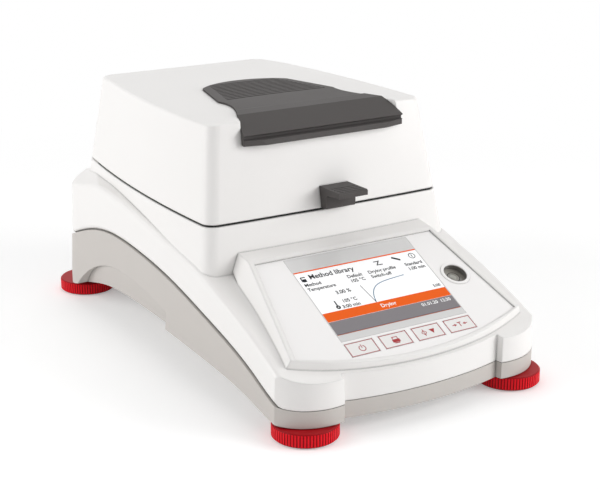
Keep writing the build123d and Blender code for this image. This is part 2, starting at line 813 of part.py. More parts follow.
key_flange_top = -overlay_thick - (wall - overlay_thick) - 0.1
for name, x in zip(key_names, key_xs):
    with BuildPart() as key:
        add(plate(panel_place(x, key_s, key_flange_top), key_width - 2 * key_fit,
                  key_height - 2 * key_fit, -key_flange_top, 0.6))
        add(plate(panel_place(x, key_s, key_flange_top - 1.0), key_width + 2, key_height + 1, 1.0))
        add(disc(panel_place(x, key_s, key_flange_top - 1.0 - key_stem), 1.5, key_stem))
    finish_piece(key.part, name)

with BuildPart() as keypad_board:
    board_rise = key_flange_top - 1.0 - key_stem - key_travel - 0.1 - board_thick
    add(plate(panel_place(0, key_s + 0.6, board_rise), 4 * key_pitch, key_height + 3, board_thick))
    for x in key_xs:
        add(plate(panel_place(x, key_s, board_rise - 3), 6, 6, 3))
finish_piece(keypad_board.part, "keypad_board")

with BuildPart() as level_bezel:
    with BuildSketch(panel_place(level_x, level_s, -overlay_thick)):
        Circle(bezel_radius)
        Circle(level_radius, mode=Mode.SUBTRACT)
    extrude(amount=overlay_thick + 0.6)
    add(disc(panel_place(level_x, level_s, -level_depth), level_radius + 1.0, level_depth - overlay_thick))
    add(disc(panel_place(level_x, level_s, -level_depth + 1), level_radius, level_depth),
        mode=Mode.SUBTRACT)
finish_piece(level_bezel.part, "level_bezel")

with BuildPart() as level_vial:
    add(disc(panel_place(level_x, level_s, -level_depth + 1), level_radius - 0.1, vial_height))
finish_piece(level_vial.part, "level_vial")

# Weighing chamber
with BuildPart() as chamber_tray:
    add(plate(level_plane(0, chamber_y, pedestal_top - sheet), *tray_rim, sheet,
              tray_corner + tray_flange - 0.2))
    add(plate(level_plane(0, chamber_y, tray_floor_z), tray_opening[0] - 0.4, tray_opening[1] - 0.4,
              pedestal_top - tray_floor_z, tray_corner))
    add(plate(level_plane(0, chamber_y, tray_floor_z + sheet), tray_opening[0] - 0.4 - 2 * sheet,
              tray_opening[1] - 0.4 - 2 * sheet, 40, tray_corner - sheet), mode=Mode.SUBTRACT)
    add(post(0, chamber_y, spindle_hole, 90, 130), mode=Mode.SUBTRACT)
finish_piece(chamber_tray.part, "chamber_tray")

with BuildPart() as draft_ring:
    add(tube(0, chamber_y, ring_outer, ring_inner, tray_floor_z + sheet, ring_top_z))
finish_piece(draft_ring.part, "draft_ring")

with BuildPart() as pan_spindle:
    add(post(0, chamber_y, 2 * spindle_radius, cell_low_z + cell_height, cell_low_z + cell_height + 3))
    add(post(0, chamber_y, spindle_radius, cell_low_z + cell_height, spindle_top_z))
finish_piece(pan_spindle.part, "pan_spindle")

with BuildPart() as pan_support:
    with BuildSketch(level_plane(0, chamber_y, pan_floor_z - support_thick)):
        Circle(support_radius)
        with PolarLocations(0.62 * support_radius, 6):
            Circle(0.2 * support_radius, mode=Mode.SUBTRACT)
    extrude(amount=support_thick)
    add(tube(0, chamber_y, 1.7 * spindle_radius, spindle_radius, spindle_top_z - 3.6,
             pan_floor_z - support_thick))
finish_piece(pan_support.part, "pan_support")

with BuildPart() as sample_pan:
    with BuildSketch(Plane.XZ.offset(-chamber_y)):
        with BuildLine():
            Polyline((0, pan_floor_z), (pan_radius, pan_floor_z), (pan_radius, pan_rim_low_z),
                     (pan_rim, pan_rim_low_z), (pan_rim, pan_rim_low_z + pan_sheet),
                     (pan_radius - pan_sheet, pan_rim_low_z + pan_sheet),
                     (pan_radius - pan_sheet, pan_floor_z + pan_sheet), (0, pan_floor_z + pan_sheet),
                     close=True)
        make_face()
    revolve(axis=Axis((0, chamber_y, 0), (0, 0, 1)))
finish_piece(sample_pan.part, "sample_pan")

with BuildPart() as pan_handler:
    add(tube(0, chamber_y, handler_outer, handler_inner, ring_top_z, ring_top_z + handler_thick))
    add(box_block((-grip_half, grip_half), (chamber_y - grip_reach, chamber_y - handler_outer + 2),
                  (ring_top_z, ring_top_z + handler_thick)))
    for index in range(3):
        low_y = chamber_y - grip_reach + 3 + index * 4
        add(box_block((-grip_half + 2, grip_half - 2), (low_y, low_y + 1.6),
                      (ring_top_z + handler_thick, ring_top_z + handler_thick + 0.8)))
finish_piece(pan_handler.part, "pan_handler")

# Balance mechanism and electronics on the chassis
with BuildPart() as chassis_plate:
    add(box_block((-chassis_half, chassis_half), (chassis_front, chassis_rear),
                  (chassis_z, chassis_z + chassis_thick)))
    fillet(chassis_plate.edges().filter_by(Axis.Z), 6)
finish_piece(chassis_plate.part, "chassis_plate")
chassis_top = chassis_z + chassis_thick

with BuildPart() as load_cell_mount:
    add(box_block((-cell_width / 2 - 3, cell_width / 2 + 3), (cell_end_y - mount_length, cell_end_y),
                  (chassis_top, cell_low_z)))
finish_piece(load_cell_mount.part, "load_cell_mount")

with BuildPart() as load_cell:
    add(box_block((-cell_width / 2, cell_width / 2), (cell_end_y - cell_length, cell_end_y),
                  (cell_low_z, cell_low_z + cell_height)))
    with BuildSketch(Plane.YZ.offset(-cell_width)):
        with Locations((cell_end_y - cell_length / 2, cell_low_z + cell_height / 2)):
            SlotCenterToCenter(0.2 * cell_length, 0.55 * cell_height)
    extrude(amount=2 * cell_width, mode=Mode.SUBTRACT)
finish_piece(load_cell.part, "load_cell")

with BuildPart() as main_board:
    add(box_block((-main_board_half, main_board_half), (main_board_front, main_board_rear),
                  (main_board_z, main_board_z + board_thick)))
    for x, y, across, along, height in ((-38, -118, 24, 24, 3), (14, -128, 14, 14, 2.4),
                                        (44, -104, 20, 10, 6), (-4, -92, 40, 6, 7)):
        add(box_block((x - across / 2, x + across / 2), (y - along / 2, y + along / 2),
                      (main_board_z + board_thick, main_board_z + board_thick + height)))
finish_piece(main_board.part, "main_board")

power_z = chassis_top + spacer_height
with BuildPart() as power_board:
    add(box_block((power_left, power_right), (power_front, power_rear),
                  (power_z, power_z + board_thick)))
    add(box_block((power_left + 8, power_left + 36), (power_front + 10, power_front + 34),
                  (power_z + board_thick, power_z + board_thick + 20)))
    for x in (power_right - 8, power_right - 24):
        add(post(x, power_rear - 12, 6.5, power_z + board_thick, power_z + board_thick + 18))
    for x in (power_left + 5, power_right - 5):
        for y in (power_front + 5, power_rear - 5):
            add(post(x, y, 2.8, chassis_top, power_z))
finish_piece(power_board.part, "power_board")

# Screws that hold the housings together, from below
with BuildPart() as housing_screws:
    for x, y, join, head in screw_places:
        add(post(x, y, screw_head, head, head + 2.5))
        add(post(x, y, screw_radius, head, join + screw_bite - 1))
finish_piece(housing_screws.part, "housing_screws")

# Levelling feet
def chamfered_wheel(x, y):
    """The wheel's plain blank with both rims chamfered."""
    with BuildPart() as blank:
        add(post(x, y, wheel_radius, wheel_low_z, wheel_top_z))
        chamfer(blank.edges().filter_by(GeomType.CIRCLE), wheel_chamfer)
    return blank.part


for name, (x, y) in foot_spots.items():
    with BuildPart() as foot_wheel:
        with BuildSketch(level_plane(x, y, wheel_low_z)):
            Circle(wheel_radius)
            with PolarLocations(wheel_radius, wheel_ribs):
                Circle(rib_cut, mode=Mode.SUBTRACT)
        extrude(amount=wheel_top_z - wheel_low_z)
        add(chamfered_wheel(x, y), mode=Mode.INTERSECT)
        add(post(x, y, pad_radius + 0.6, 0, pad_height + pad_gap), mode=Mode.SUBTRACT)
        add(post(x, y, stud_radius, 0, 40), mode=Mode.SUBTRACT)
    finish_piece(foot_wheel.part, f"wheel_{name}")
    with BuildPart() as foot_stud:
        add(post(x, y, stud_radius, pad_height + pad_gap, stud_top_z))
        chamfer(foot_stud.edges().sort_by(Axis.Z)[-1], 0.8)
    finish_piece(foot_stud.part, f"stud_{name}")
    with BuildPart() as foot_pad:
        add(post(x, y, pad_radius, 0, pad_height))
        chamfer(foot_pad.edges().filter_by(GeomType.CIRCLE).sort_by(Axis.Z)[0], 0.5)
    finish_piece(foot_pad.part, f"pad_{name}")

with BuildPart() as foot_inserts:
    for x, y in foot_spots.values():
        add(tube(x, y, insert_radius, stud_radius + stud_clearance, boss_top_z - insert_length,
                 boss_top_z))
finish_piece(foot_inserts.part, "foot_inserts")

# Lid hinge: leaves on the walls, three knuckles and a pin at each side
hinge_y = low_rear + hinge_off
knuckle = (hinge_length - 2 * knuckle_gap) / 3


def rear_wall_y(z):
    return lid_value(low_rear, high_rear, z)


def hinge_leaf(low_z, high_z, web_z, pieces, x):
    """A leaf against the rear wall with knuckles at the given spans of the hinge's length."""
    with BuildPart() as leaf:
        with BuildSketch(Plane.YZ.offset(x - hinge_length / 2)):
            with BuildLine():
                Polyline((rear_wall_y(low_z), low_z), (rear_wall_y(low_z) + leaf_thick, low_z),
                         (rear_wall_y(high_z) + leaf_thick, high_z), (rear_wall_y(high_z), high_z),
                         close=True)
            make_face()
        extrude(amount=hinge_length)
        for start in pieces:
            with BuildSketch(Plane.YZ.offset(x - hinge_length / 2 + start)):
                with BuildLine():
                    Polyline((rear_wall_y(web_z) + leaf_thick / 2, web_z),
                             (hinge_y, hinge_z + (barrel_radius if web_z > hinge_z else -barrel_radius)),
                             (hinge_y, hinge_z),
                             (rear_wall_y(hinge_z) + leaf_thick / 2, hinge_z + hinge_web_lift
                              * (1 if web_z > hinge_z else -1)), close=True)
                make_face()
                with Locations((hinge_y, hinge_z)):
                    Circle(barrel_radius)
            extrude(amount=knuckle)
        with BuildSketch(Plane.YZ.offset(x - hinge_length)):
            with Locations((hinge_y, hinge_z)):
                Circle(pin_radius + (pin_clearance if web_z > hinge_z else 0))
        extrude(amount=2 * hinge_length, mode=Mode.SUBTRACT)
    return leaf.part


hinge_sides = (-hinge_x, hinge_x)
with BuildPart() as hinge_brackets:
    for x in hinge_sides:
        add(hinge_leaf(pedestal_top - 10, pedestal_top - 0.6, pedestal_top - 6,
                       [knuckle + knuckle_gap], x))
finish_piece(hinge_brackets.part, "hinge_brackets")

with BuildPart() as hinge_leaves:
    for x in hinge_sides:
        add(hinge_leaf(seam_z + 1.5, seam_z + 1.5 + leaf_height, seam_z + 9,
                       [0, 2 * (knuckle + knuckle_gap)], x))
finish_piece(hinge_leaves.part, "hinge_leaves")

with BuildPart() as hinge_pins:
    for x in hinge_sides:
        with BuildSketch(Plane.YZ.offset(x - hinge_length / 2 - 0.5)):
            with Locations((hinge_y, hinge_z)):
                Circle(pin_radius)
        extrude(amount=hinge_length + 1)
finish_piece(hinge_pins.part, "hinge_pins")

with BuildPart() as lid_bumpers:
    for x in (-bumper_x, bumper_x):
        add(post(x, bumper_y, bumper_radius, pedestal_top, frame_z))
finish_piece(lid_bumpers.part, "lid_bumpers")

# Lid shell
visor_low_z = 150.0


def visor_plan_sketch(margin, z):
    """The visor's plan, grown by margin: bowed rear edge and flanks that widen to the nose."""
    right = [(x + margin, y) for x, y in visor_plan]
    left = [(-x, y) for x, y in reversed(right)]
    rear_y = visor_plan[0][1] + margin
    with BuildSketch(Plane.XY.offset(z)) as plan:
        with BuildLine():
            ThreePointArc((left[-1][0], rear_y), (0, visor_rear + margin), (right[0][0], rear_y))
            Line((right[0][0], rear_y), right[1])
            Spline(*right[1:])
            Line(right[-1], left[0])
            Spline(*left[:-1])
            Line(left[-2], (left[-1][0], rear_y))
        make_face()
    return plan.sketch


def visor_prism(margin):
    with BuildPart() as prism:
        extrude(visor_plan_sketch(margin, visor_low_z), amount=80)
    return prism.part


def side_prism(points, half):
    """A prism across the object with the given outline in the Y-Z plane."""
    with BuildPart() as prism:
        with BuildSketch(Plane.YZ.offset(-half)):
            with BuildLine():
                Polyline(*points, close=True)
            make_face()
        extrude(amount=2 * half)
    return prism.part


behind_nose = box_block((-body_half, body_half), (nose_front_y, 200), (100, 240))
with BuildPart() as lid_form:
    add(lid_column(seam_z, 204, 0))
    add(under_lid_top(0), mode=Mode.INTERSECT)
    top_edges = [edge for edge in lid_form.edges() if edge.center().Z > 186 and edge.length > 3]
    fillet(top_edges, lid_edge_round)

with BuildPart() as lid_room:
    add(lid_column(seam_z - 1, 204, lid_wall))
    add(under_lid_top(lid_wall), mode=Mode.INTERSECT)
    add(side_prism(nose_room, body_half), mode=Mode.SUBTRACT)

with BuildPart() as lid_columns:
    for x, y in lid_posts:
        for sign in (-1, 1):
            add(post(sign * x, y, lid_post_radius, frame_z + frame_thick, 200))
    add(lid_form.part, mode=Mode.INTERSECT)
    for x, y in lid_posts:
        for sign in (-1, 1):
            add(post(sign * x, y, screw_radius, 100, frame_z + frame_thick + screw_bite),
                mode=Mode.SUBTRACT)

with BuildPart() as visor_pocket:
    add(visor_prism(visor_fit))
    add(behind_nose, mode=Mode.INTERSECT)
    add(under_lid_top(visor_seat), mode=Mode.SUBTRACT)

with BuildPart() as nose_pocket:
    add(side_prism(nose_seat, body_half))
    add(visor_prism(visor_fit), mode=Mode.INTERSECT)

with BuildPart() as vent_opening:
    add(visor_prism(-visor_margin))
    add(box_block((-body_half, body_half), (visor_step_y, 200), (100, 240)), mode=Mode.INTERSECT)

with BuildPart() as lid_shell:
    add(lid_form.part)
    add(lid_room.part, mode=Mode.SUBTRACT)
    add(lid_columns.part)
    add(visor_pocket.part, mode=Mode.SUBTRACT)
    add(nose_pocket.part, mode=Mode.SUBTRACT)
    add(vent_opening.part, mode=Mode.SUBTRACT)
finish_piece(lid_shell.part, "lid_shell")

def nose_end_cut(side):
    """The facet that brings one end of the nose's lip back towards the lid's front."""
    with BuildPart() as cut:
        with BuildSketch(Plane.XY.offset(100)):
            with BuildLine():
                Polyline((side * (visor_nose_half - nose_facet), visor_nose[-1][0] - 1),
                         (side * 90, visor_nose[-1][0] - 1), (side * 90, nose_end_y),
                         (side * visor_nose_half, nose_end_y), close=True)
            make_face()
        extrude(amount=nose_facet_top - 100)
    return cut.part


# Visor: a flush louvred plate behind, a raised nose over the lid's front edge
with BuildPart() as visor_plate:
    add(visor_prism(0))
    add(behind_nose, mode=Mode.INTERSECT)
    add(under_lid_top(-visor_rise), mode=Mode.INTERSECT)
    add(under_lid_top(visor_seat), mode=Mode.SUBTRACT)

with BuildPart() as visor_nose_block:
    add(side_prism([*visor_nose, (nose_seat[1][0], visor_nose[-1][1]), nose_seat[1]], visor_nose_half))
    add(visor_prism(0), mode=Mode.INTERSECT)
    for side in (-1, 1):
        add(nose_end_cut(side), mode=Mode.SUBTRACT)
    add(lid_shell.part, mode=Mode.SUBTRACT)
    add(lid_room.part, mode=Mode.SUBTRACT)

with BuildPart() as lid_visor:
    add(visor_plate.part)
    add(visor_nose_block.part)
    add(side_prism([*visor_nose, (-90, visor_nose[-1][1]), (-90, 220), (visor_nose[0][0], 220)],
                   body_half), mode=Mode.SUBTRACT)
    with BuildSketch(Plane.XY.offset(visor_low_z)):
        for index in range(louvre_count):
            y = louvre_first_y + index * louvre_pitch
            with Locations((0, y)):
                SlotOverall(2 * louvre_half(y), louvre_width)
    extrude(amount=80, mode=Mode.SUBTRACT)
finish_piece(lid_visor.part, "lid_visor")

with BuildPart() as vent_screen:
    add(visor_prism(-visor_margin + 4))
    add(box_block((-body_half, body_half), (visor_step_y - 4, 200), (100, 240)), mode=Mode.INTERSECT)
    add(under_lid_top(lid_wall), mode=Mode.INTERSECT)
    add(under_lid_top(lid_wall + 0.6), mode=Mode.SUBTRACT)
finish_piece(vent_screen.part, "vent_screen")

# Lid handle: stem on the front wall and a grooved finger tab
handle_back = low_front - front_crown
with BuildPart() as lid_handle:
    with BuildSketch(Plane.YZ.offset(handle_x - handle_half)):
        with BuildLine():
            Polyline((handle_back + 8, handle_low_z), (handle_back - handle_stem + 1, handle_low_z),
                     (handle_back - handle_stem, handle_low_z + 1),
                     (handle_back - handle_stem, handle_top_z - tab_thick),
                     (handle_back - handle_reach, handle_top_z - tab_thick + 1),
                     (handle_back - handle_reach, handle_top_z - 1),
                     (handle_back - handle_reach + 1, handle_top_z), (handle_back + 8, handle_top_z),
                     close=True)
        make_face()
    extrude(amount=2 * handle_half)
    for index in range(groove_count):
        with BuildSketch(Plane.YZ.offset(handle_x - handle_half + 2)):
            with Locations((handle_back - handle_stem - 2 - index * groove_pitch, handle_top_z)):
                Circle(0.8)
        extrude(amount=2 * handle_half - 4, mode=Mode.SUBTRACT)
    add(lid_form.part, mode=Mode.SUBTRACT)
finish_piece(lid_handle.part, "lid_handle")

# Heater in the lid
frame_top_z = frame_z + frame_thick
with BuildPart() as lid_frame:
    extrude(lid_outline(frame_top_z, lid_wall + frame_fit), amount=-frame_thick)
    add(tube(0, chamber_y, heater_hole + skirt_thick, heater_hole, frame_top_z, skirt_top_z))
    add(post(0, chamber_y, heater_hole, 100, 150), mode=Mode.SUBTRACT)
    for x, y in lid_posts:
        for sign in (-1, 1):
            add(post(sign * x, y, screw_radius + 0.2, 100, 150), mode=Mode.SUBTRACT)
finish_piece(lid_frame.part, "lid_frame")

with BuildPart() as lid_screws:
    for x, y in lid_posts:
        for sign in (-1, 1):
            add(post(sign * x, y, screw_head, frame_z - 1.2, frame_z))
            add(post(sign * x, y, screw_radius, frame_z - 1.2, frame_top_z + screw_bite - 1))
finish_piece(lid_screws.part, "lid_screws")

with BuildPart() as glass_ring:
    add(tube(0, chamber_y, heater_hole + 6, heater_hole - 6, frame_z - 1.2, frame_z))
finish_piece(glass_ring.part, "glass_ring")

with BuildPart() as heater_glass:
    add(post(0, chamber_y, heater_hole - 0.4, frame_z, frame_z + glass_disc))
finish_piece(heater_glass.part, "heater_glass")

end_x = lamp_ring * sin(radians(lamp_end_angle))
end_y = chamber_y + lamp_ring * cos(radians(lamp_end_angle))
with BuildPart() as heat_reflector:
    with BuildSketch(Plane.XZ.offset(-chamber_y)):
        with BuildLine():
            Line((heater_hole + skirt_thick, skirt_top_z), (heater_hole - 1, skirt_top_z))
            ThreePointArc((heater_hole - 1, skirt_top_z), (heater_hole - 10, dish_top_z - 10),
                          (dish_flat, dish_top_z))
            Line((dish_flat, dish_top_z), (0, dish_top_z))
            Line((0, dish_top_z), (0, dish_top_z + sheet))
            Line((0, dish_top_z + sheet), (dish_flat, dish_top_z + sheet))
            ThreePointArc((dish_flat, dish_top_z + sheet), (heater_hole - 9.4, dish_top_z - 9.4),
                          (heater_hole - 0.2, skirt_top_z + sheet))
            Line((heater_hole - 0.2, skirt_top_z + sheet), (heater_hole + skirt_thick, skirt_top_z + sheet))
            Line((heater_hole + skirt_thick, skirt_top_z + sheet), (heater_hole + skirt_thick, skirt_top_z))
        make_face()
    revolve(axis=Axis((0, chamber_y, 0), (0, 0, 1)))
    for sign in (-1, 1):
        with BuildSketch(Plane.XZ.offset(-end_y)):
            with Locations((sign * end_x, lamp_z)):
                Circle(lamp_tube + 1)
        extrude(amount=-40, mode=Mode.SUBTRACT)
    add(post(probe_x, chamber_y, probe_radius + 0.1, 140, 170), mode=Mode.SUBTRACT)
finish_piece(heat_reflector.part, "heat_reflector")

with BuildPart() as halogen_lamp:
    with BuildSketch(Plane.XZ.offset(-chamber_y)):
        with Locations((lamp_ring, lamp_z)):
            Circle(lamp_tube)
    revolve(axis=Axis((0, chamber_y, 0), (0, 0, 1)), revolution_arc=360 - 2 * lamp_end_angle,
            clean=True)
lamp_turned = halogen_lamp.part.rotate(Axis((0, chamber_y, 0), (0, 0, 1)), 90 + lamp_end_angle)
with BuildPart() as lamp_with_ends:
    add(lamp_turned)
    for sign in (-1, 1):
        with BuildSketch(Plane.XZ.offset(-end_y)):
            with Locations((sign * end_x, lamp_z)):
                Circle(lamp_tube)
        extrude(amount=-(chamber_y + lamp_end_reach - end_y))
finish_piece(lamp_with_ends.part, "halogen_lamp")

with BuildPart() as lamp_holders:
    for sign in (-1, 1):
        add(box_block((sign * end_x - holder_size[0] / 2, sign * end_x + holder_size[0] / 2),
                      (chamber_y + lamp_end_reach, chamber_y + lamp_end_reach + holder_size[1]),
                      (frame_top_z, holder_top_z)))
finish_piece(lamp_holders.part, "lamp_holders")

with BuildPart() as temperature_probe:
    add(post(probe_x, chamber_y, probe_radius, lamp_z - 8, dish_top_z + sheet))
    add(post(probe_x, chamber_y, 2.4 * probe_radius, dish_top_z + sheet, dish_top_z + sheet + 3))
finish_piece(temperature_probe.part, "temperature_probe")

print("nodes written:", len([name for name in os.listdir("parts") if name.endswith(".step")]))
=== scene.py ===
# %% [markdown]
# # A halogen moisture analyzer
# The real object dries a sample on a pan under a halogen lamp and weighs it as it dries. Its
# housing, lid, feet and inner works come from the CAD frame, so this script gives them their
# finishes and adds what is too fine for the solids: the picture on the display, the marks on the
# keys, the bubble in the level, a dark strip of painted shade in the gap under the lid, the lamp's
# filament and small fasteners.

# %% Load the frame
import math

import bmesh
import bpy
from mathutils import Matrix, Vector
from mathutils.geometry import convex_hull_2d


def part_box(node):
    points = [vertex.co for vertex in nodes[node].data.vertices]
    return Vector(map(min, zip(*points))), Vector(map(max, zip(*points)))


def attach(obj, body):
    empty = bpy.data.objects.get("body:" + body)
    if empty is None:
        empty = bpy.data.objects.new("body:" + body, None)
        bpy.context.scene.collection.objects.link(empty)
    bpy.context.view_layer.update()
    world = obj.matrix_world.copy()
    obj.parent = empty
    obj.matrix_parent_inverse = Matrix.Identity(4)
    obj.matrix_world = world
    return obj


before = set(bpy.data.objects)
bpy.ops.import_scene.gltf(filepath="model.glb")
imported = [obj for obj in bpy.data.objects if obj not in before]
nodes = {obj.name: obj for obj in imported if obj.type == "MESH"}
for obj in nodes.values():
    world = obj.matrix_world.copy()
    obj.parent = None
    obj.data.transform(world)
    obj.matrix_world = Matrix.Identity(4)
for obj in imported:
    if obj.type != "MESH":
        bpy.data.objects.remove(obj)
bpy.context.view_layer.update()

MM = 0.001
CORNERS = ("front_left", "front_right", "rear_left", "rear_right")

# %% [markdown]
# ## Shader maths as Python
# A finish is easier to read as a formula than as a web of nodes. The class below wraps one output
# of a node, and its operators add Math nodes. Colours and vectors go through Mix and Vector Math
# instead, because a Math node would turn a colour grey.

# %% A wrapped socket
class Field:
    """One output of a node, used like a number in a formula."""

    def __init__(self, bench, socket):
        self.bench = bench
        self.socket = socket

    def math(self, operation, first, second=0.0):
        return self.bench.node("ShaderNodeMath", {"operation": operation}, {0: first, 1: second})

    def __add__(self, other):
        return self.math("ADD", self, other)

    def __sub__(self, other):
        return self.math("SUBTRACT", self, other)

    def __rsub__(self, other):
        return self.math("SUBTRACT", other, self)

    def __mul__(self, other):
        return self.math("MULTIPLY", self, other)

    def __truediv__(self, other):
        return self.math("DIVIDE", self, other)

    def __gt__(self, other):
        return self.math("GREATER_THAN", self, other)

    def __lt__(self, other):
        return self.math("LESS_THAN", self, other)

    def __abs__(self):
        return self.math("ABSOLUTE", self)

    def root(self):
        return self.math("SQRT", self)

    def fold(self, width):
        """The value folded back and forth between 0 and width."""
        return self.math("PINGPONG", self, width)

    __radd__ = __add__
    __rmul__ = __mul__


def distance(across, along):
    """How far a point is from an axis, from its two distances along the other axes."""
    return (across * across + along * along).root()


print("fields ready")

# %% [markdown]
# ## One bench for every tree of nodes
# Each material starts as one Principled shader. The node method takes a node's type, then its
# settings, then the values or links of its sockets, so every other helper is only a formula. The
# sky of the studio has a tree of its own, so the bench is kept apart from the material.

# %% The bench
class Bench:
    """A tree in the making: nodes are added by type, settings and sockets."""

    def __init__(self, tree, output_kind):
        self.tree = tree
        tree.nodes.clear()
        self.output = tree.nodes.new(output_kind)

    def feed(self, socket, value):
        if isinstance(value, Field):
            self.tree.links.new(value.socket, socket)
        else:
            socket.default_value = value

    def node(self, kind, settings, values, output=0):
        made = self.tree.nodes.new(kind)
        for name, value in settings.items():
            setattr(made, name, value)
        for name, value in values.items():
            self.feed(made.inputs[name], value)
        return Field(self, made.outputs[output])

    def show(self, shader):
        self.feed(self.output.inputs["Surface"], shader)


print("bench ready")

# %% [markdown]
# ## What the finishes share
# Most finishes need the same few things: a point's place on the object, noise, a soft edge, and a
# way to tell an edge or a gap from an open face. They are methods here, so a finish below reads as
# a short recipe.

# %% A finish
class Finish(Bench):
    """A material with one Principled shader."""

    EDGE_GAIN = 5.0

    def __init__(self, name):
        self.material = bpy.data.materials.new(name)
        self.material.use_nodes = True
        super().__init__(self.material.node_tree, "ShaderNodeOutputMaterial")
        self.shader = self.tree.nodes.new("ShaderNodeBsdfPrincipled")
        self.show(self.light())

    def light(self):
        return Field(self, self.shader.outputs[0])

    def set(self, **values):
        for name, value in values.items():
            self.feed(self.shader.inputs[name.replace("_", " ")], value)

    def place(self):
        """Where a point is on the object, in metres, the same at every pose."""
        return self.node("ShaderNodeTexCoord", {}, {}, "Object")

    def axis(self, name):
        return self.node("ShaderNodeSeparateXYZ", {}, {0: self.place()}, name)

    def noise(self, scale, detail=2.0, stretch=(1, 1, 1)):
        settings = {"operation": "MULTIPLY"}
        spot = self.node("ShaderNodeVectorMath", settings, {0: self.place(), 1: stretch})
        values = {"Vector": spot, "Scale": scale, "Detail": detail}
        return self.node("ShaderNodeTexNoise", {}, values)

    def blend(self, share, first, second):
        values = {0: share, 6: first, 7: second}
        return self.node("ShaderNodeMix", {"data_type": "RGBA"}, values, 2)

    def soft_edges(self, radius):
        return self.node("ShaderNodeBevel", {"samples": 4}, {"Radius": radius})

    def relief(self, height, depth, normal):
        values = {"Strength": 1.0, "Distance": depth, "Height": height, "Normal": normal}
        return self.node("ShaderNodeBump", {}, values)

    def crevice(self, depth):
        """How deep a point lies in a gap: 0 on an open face, 1 in a crack narrower than depth."""
        values = {"Distance": depth}
        return 1 - self.node("ShaderNodeAmbientOcclusion", {"samples": 6}, values, "AO")

    def edge_share(self, rounded):
        """How far a point is on a rounded edge: 0 on a face, rising towards an edge."""
        true = self.node("ShaderNodeNewGeometry", {}, {}, "True Normal")
        settings = {"operation": "DOT_PRODUCT"}
        close = self.node("ShaderNodeVectorMath", settings, {0: rounded, 1: true}, "Value")
        settings = {"operation": "MULTIPLY", "use_clamp": True}
        return self.node("ShaderNodeMath", settings, {0: 1 - close, 1: self.EDGE_GAIN})


def colour(text):
    """A colour written as in a picture editor, turned into linear light."""
    parts = [int(text[i:i + 2], 16) / 255 for i in (0, 2, 4)]
    linear = [p / 12.92 if p <= 0.04045 else ((p + 0.055) / 1.055) ** 2.4 for p in parts]
    return (*linear, 1.0)


def darker(text, share):
    """The same colour with only a share of its light."""
    return (*(part * share for part in colour(text)[:3]), 1.0)


def dress(finish, *names):
    """Gives the finish to CAD nodes."""
    for name in names:
        mesh = nodes[name].data
        mesh.materials.clear()
        mesh.materials.append(finish.material)


print("finish recipes ready")

# %% [markdown]
# ## New pieces
# Whatever is not in the CAD frame is a piece of its own. It joins the scene, rides on the body that
# carries it on the real object, and takes the material of its finish.

# %% Piece helpers
def in_scene(name, data):
    """Puts mesh, curve, lamp or camera data into the scene as an object."""
    made = bpy.data.objects.new(name, data)
    bpy.context.scene.collection.objects.link(made)
    return made


def as_mesh(name, mesh):
    """Turns a bmesh into mesh data and frees it."""
    data = bpy.data.meshes.new(name)
    mesh.to_mesh(data)
    mesh.free()
    return data


def add_piece(name, data, finish, body):
    data.materials.append(finish.material)
    piece = in_scene(name, data)
    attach(piece, body)


print("piece helpers ready")

# %% [markdown]
# ## Moulded plastic
# The shells are moulded, so their skin has a fine spark-eroded grain, a slightly uneven gloss where
# the melt flowed, and edges with a small radius that catch the light. Noise at two sizes gives the
# first two, and a Bevel node the last, because the solids have no room for radii this small. The
# colour is painted paler on the edges, a painted highlight, and darker inside gaps between pieces,
# as painted shade.

# %% Moulded finishes
GAP_DEPTH = 1.5 * MM
FLOW_SCALE = 14.0


def moulded(name, base, edge, roughness, grain=0.25, depth=0.012, radius=0.4, coat=0.0, shine=0.5,
            gap=0.12):
    """Grain, depth and radius are in millimetres; edge is a painted highlight, and gap is the light
    left inside a crack, a painted shade.
    """
    made = Finish(name)
    rounded = made.soft_edges(radius * MM)
    fine = made.noise(1 / (grain * MM), 3.0)
    flow = made.noise(FLOW_SCALE, 4.0)
    shade = made.blend(flow * 0.16, colour(base), darker(base, 0.9))
    # painted highlight: the colour turns paler towards rounded edges
    edge_highlighted = made.blend(made.edge_share(rounded) * 0.6, shade, colour(edge))
    # painted shade: the colour darkens inside gaps and cracks
    shaded = made.blend(made.crevice(GAP_DEPTH), edge_highlighted, darker(base, gap))
    made.set(Base_Color=shaded, Roughness=roughness + (flow - 0.5) * 0.14 + (fine - 0.5) * 0.1)
    made.set(Normal=made.relief(fine, depth * MM, rounded))
    made.set(Coat_Weight=coat, Coat_Roughness=0.12, Specular_IOR_Level=shine)
    return made


white = moulded("white_moulding", "F3F1EF", "FAF9F7", 0.36, radius=1.5, coat=0.1)
grey = moulded("grey_moulding", "C7C2BD", "D4D0CB", 0.5, grain=0.35, depth=0.03)
dark = moulded("dark_moulding", "38383A", "56565A", 0.5, depth=0.03)
black = moulded("black_moulding", "1C1C1E", "3A3A3D", 0.45)
overlay = moulded("overlay_film", "FCFAF9", "FFFFFF", 0.3, grain=0.12, depth=0.004, radius=0.15,
                  coat=0.2, gap=0.6)
cap = moulded("key_cap", "F2F0EE", "F9F8F6", 0.38, grain=0.12, depth=0.004, radius=0.3)
charcoal = moulded("charcoal_moulding", "565352", "74716F", 0.5, grain=0.3, depth=0.02,
                   radius=0.5, shine=0.1)
rubber = moulded("rubber", "262626", "3C3C3C", 0.75, grain=0.5, depth=0.03)
ceramic = moulded("ceramic", "E6E2D8", "F2EFE7", 0.6, grain=0.4, depth=0.03)
dress(white, "upper_housing", "lid_shell")
dress(grey, "lower_housing")
dress(dark, "rear_panel")
dress(black, "power_inlet", "fuse_drawer", "fan_frame", "fan_rotor", "pan_handler")
dress(overlay, "panel_overlay")
dress(cap, "key_power", "key_print", "key_start", "key_tare")
dress(charcoal, "lid_visor", "lid_handle")
dress(rubber, "lid_bumpers", *(f"pad_{word}" for word in CORNERS))
dress(ceramic, "lamp_holders")
print("moulded finishes given")
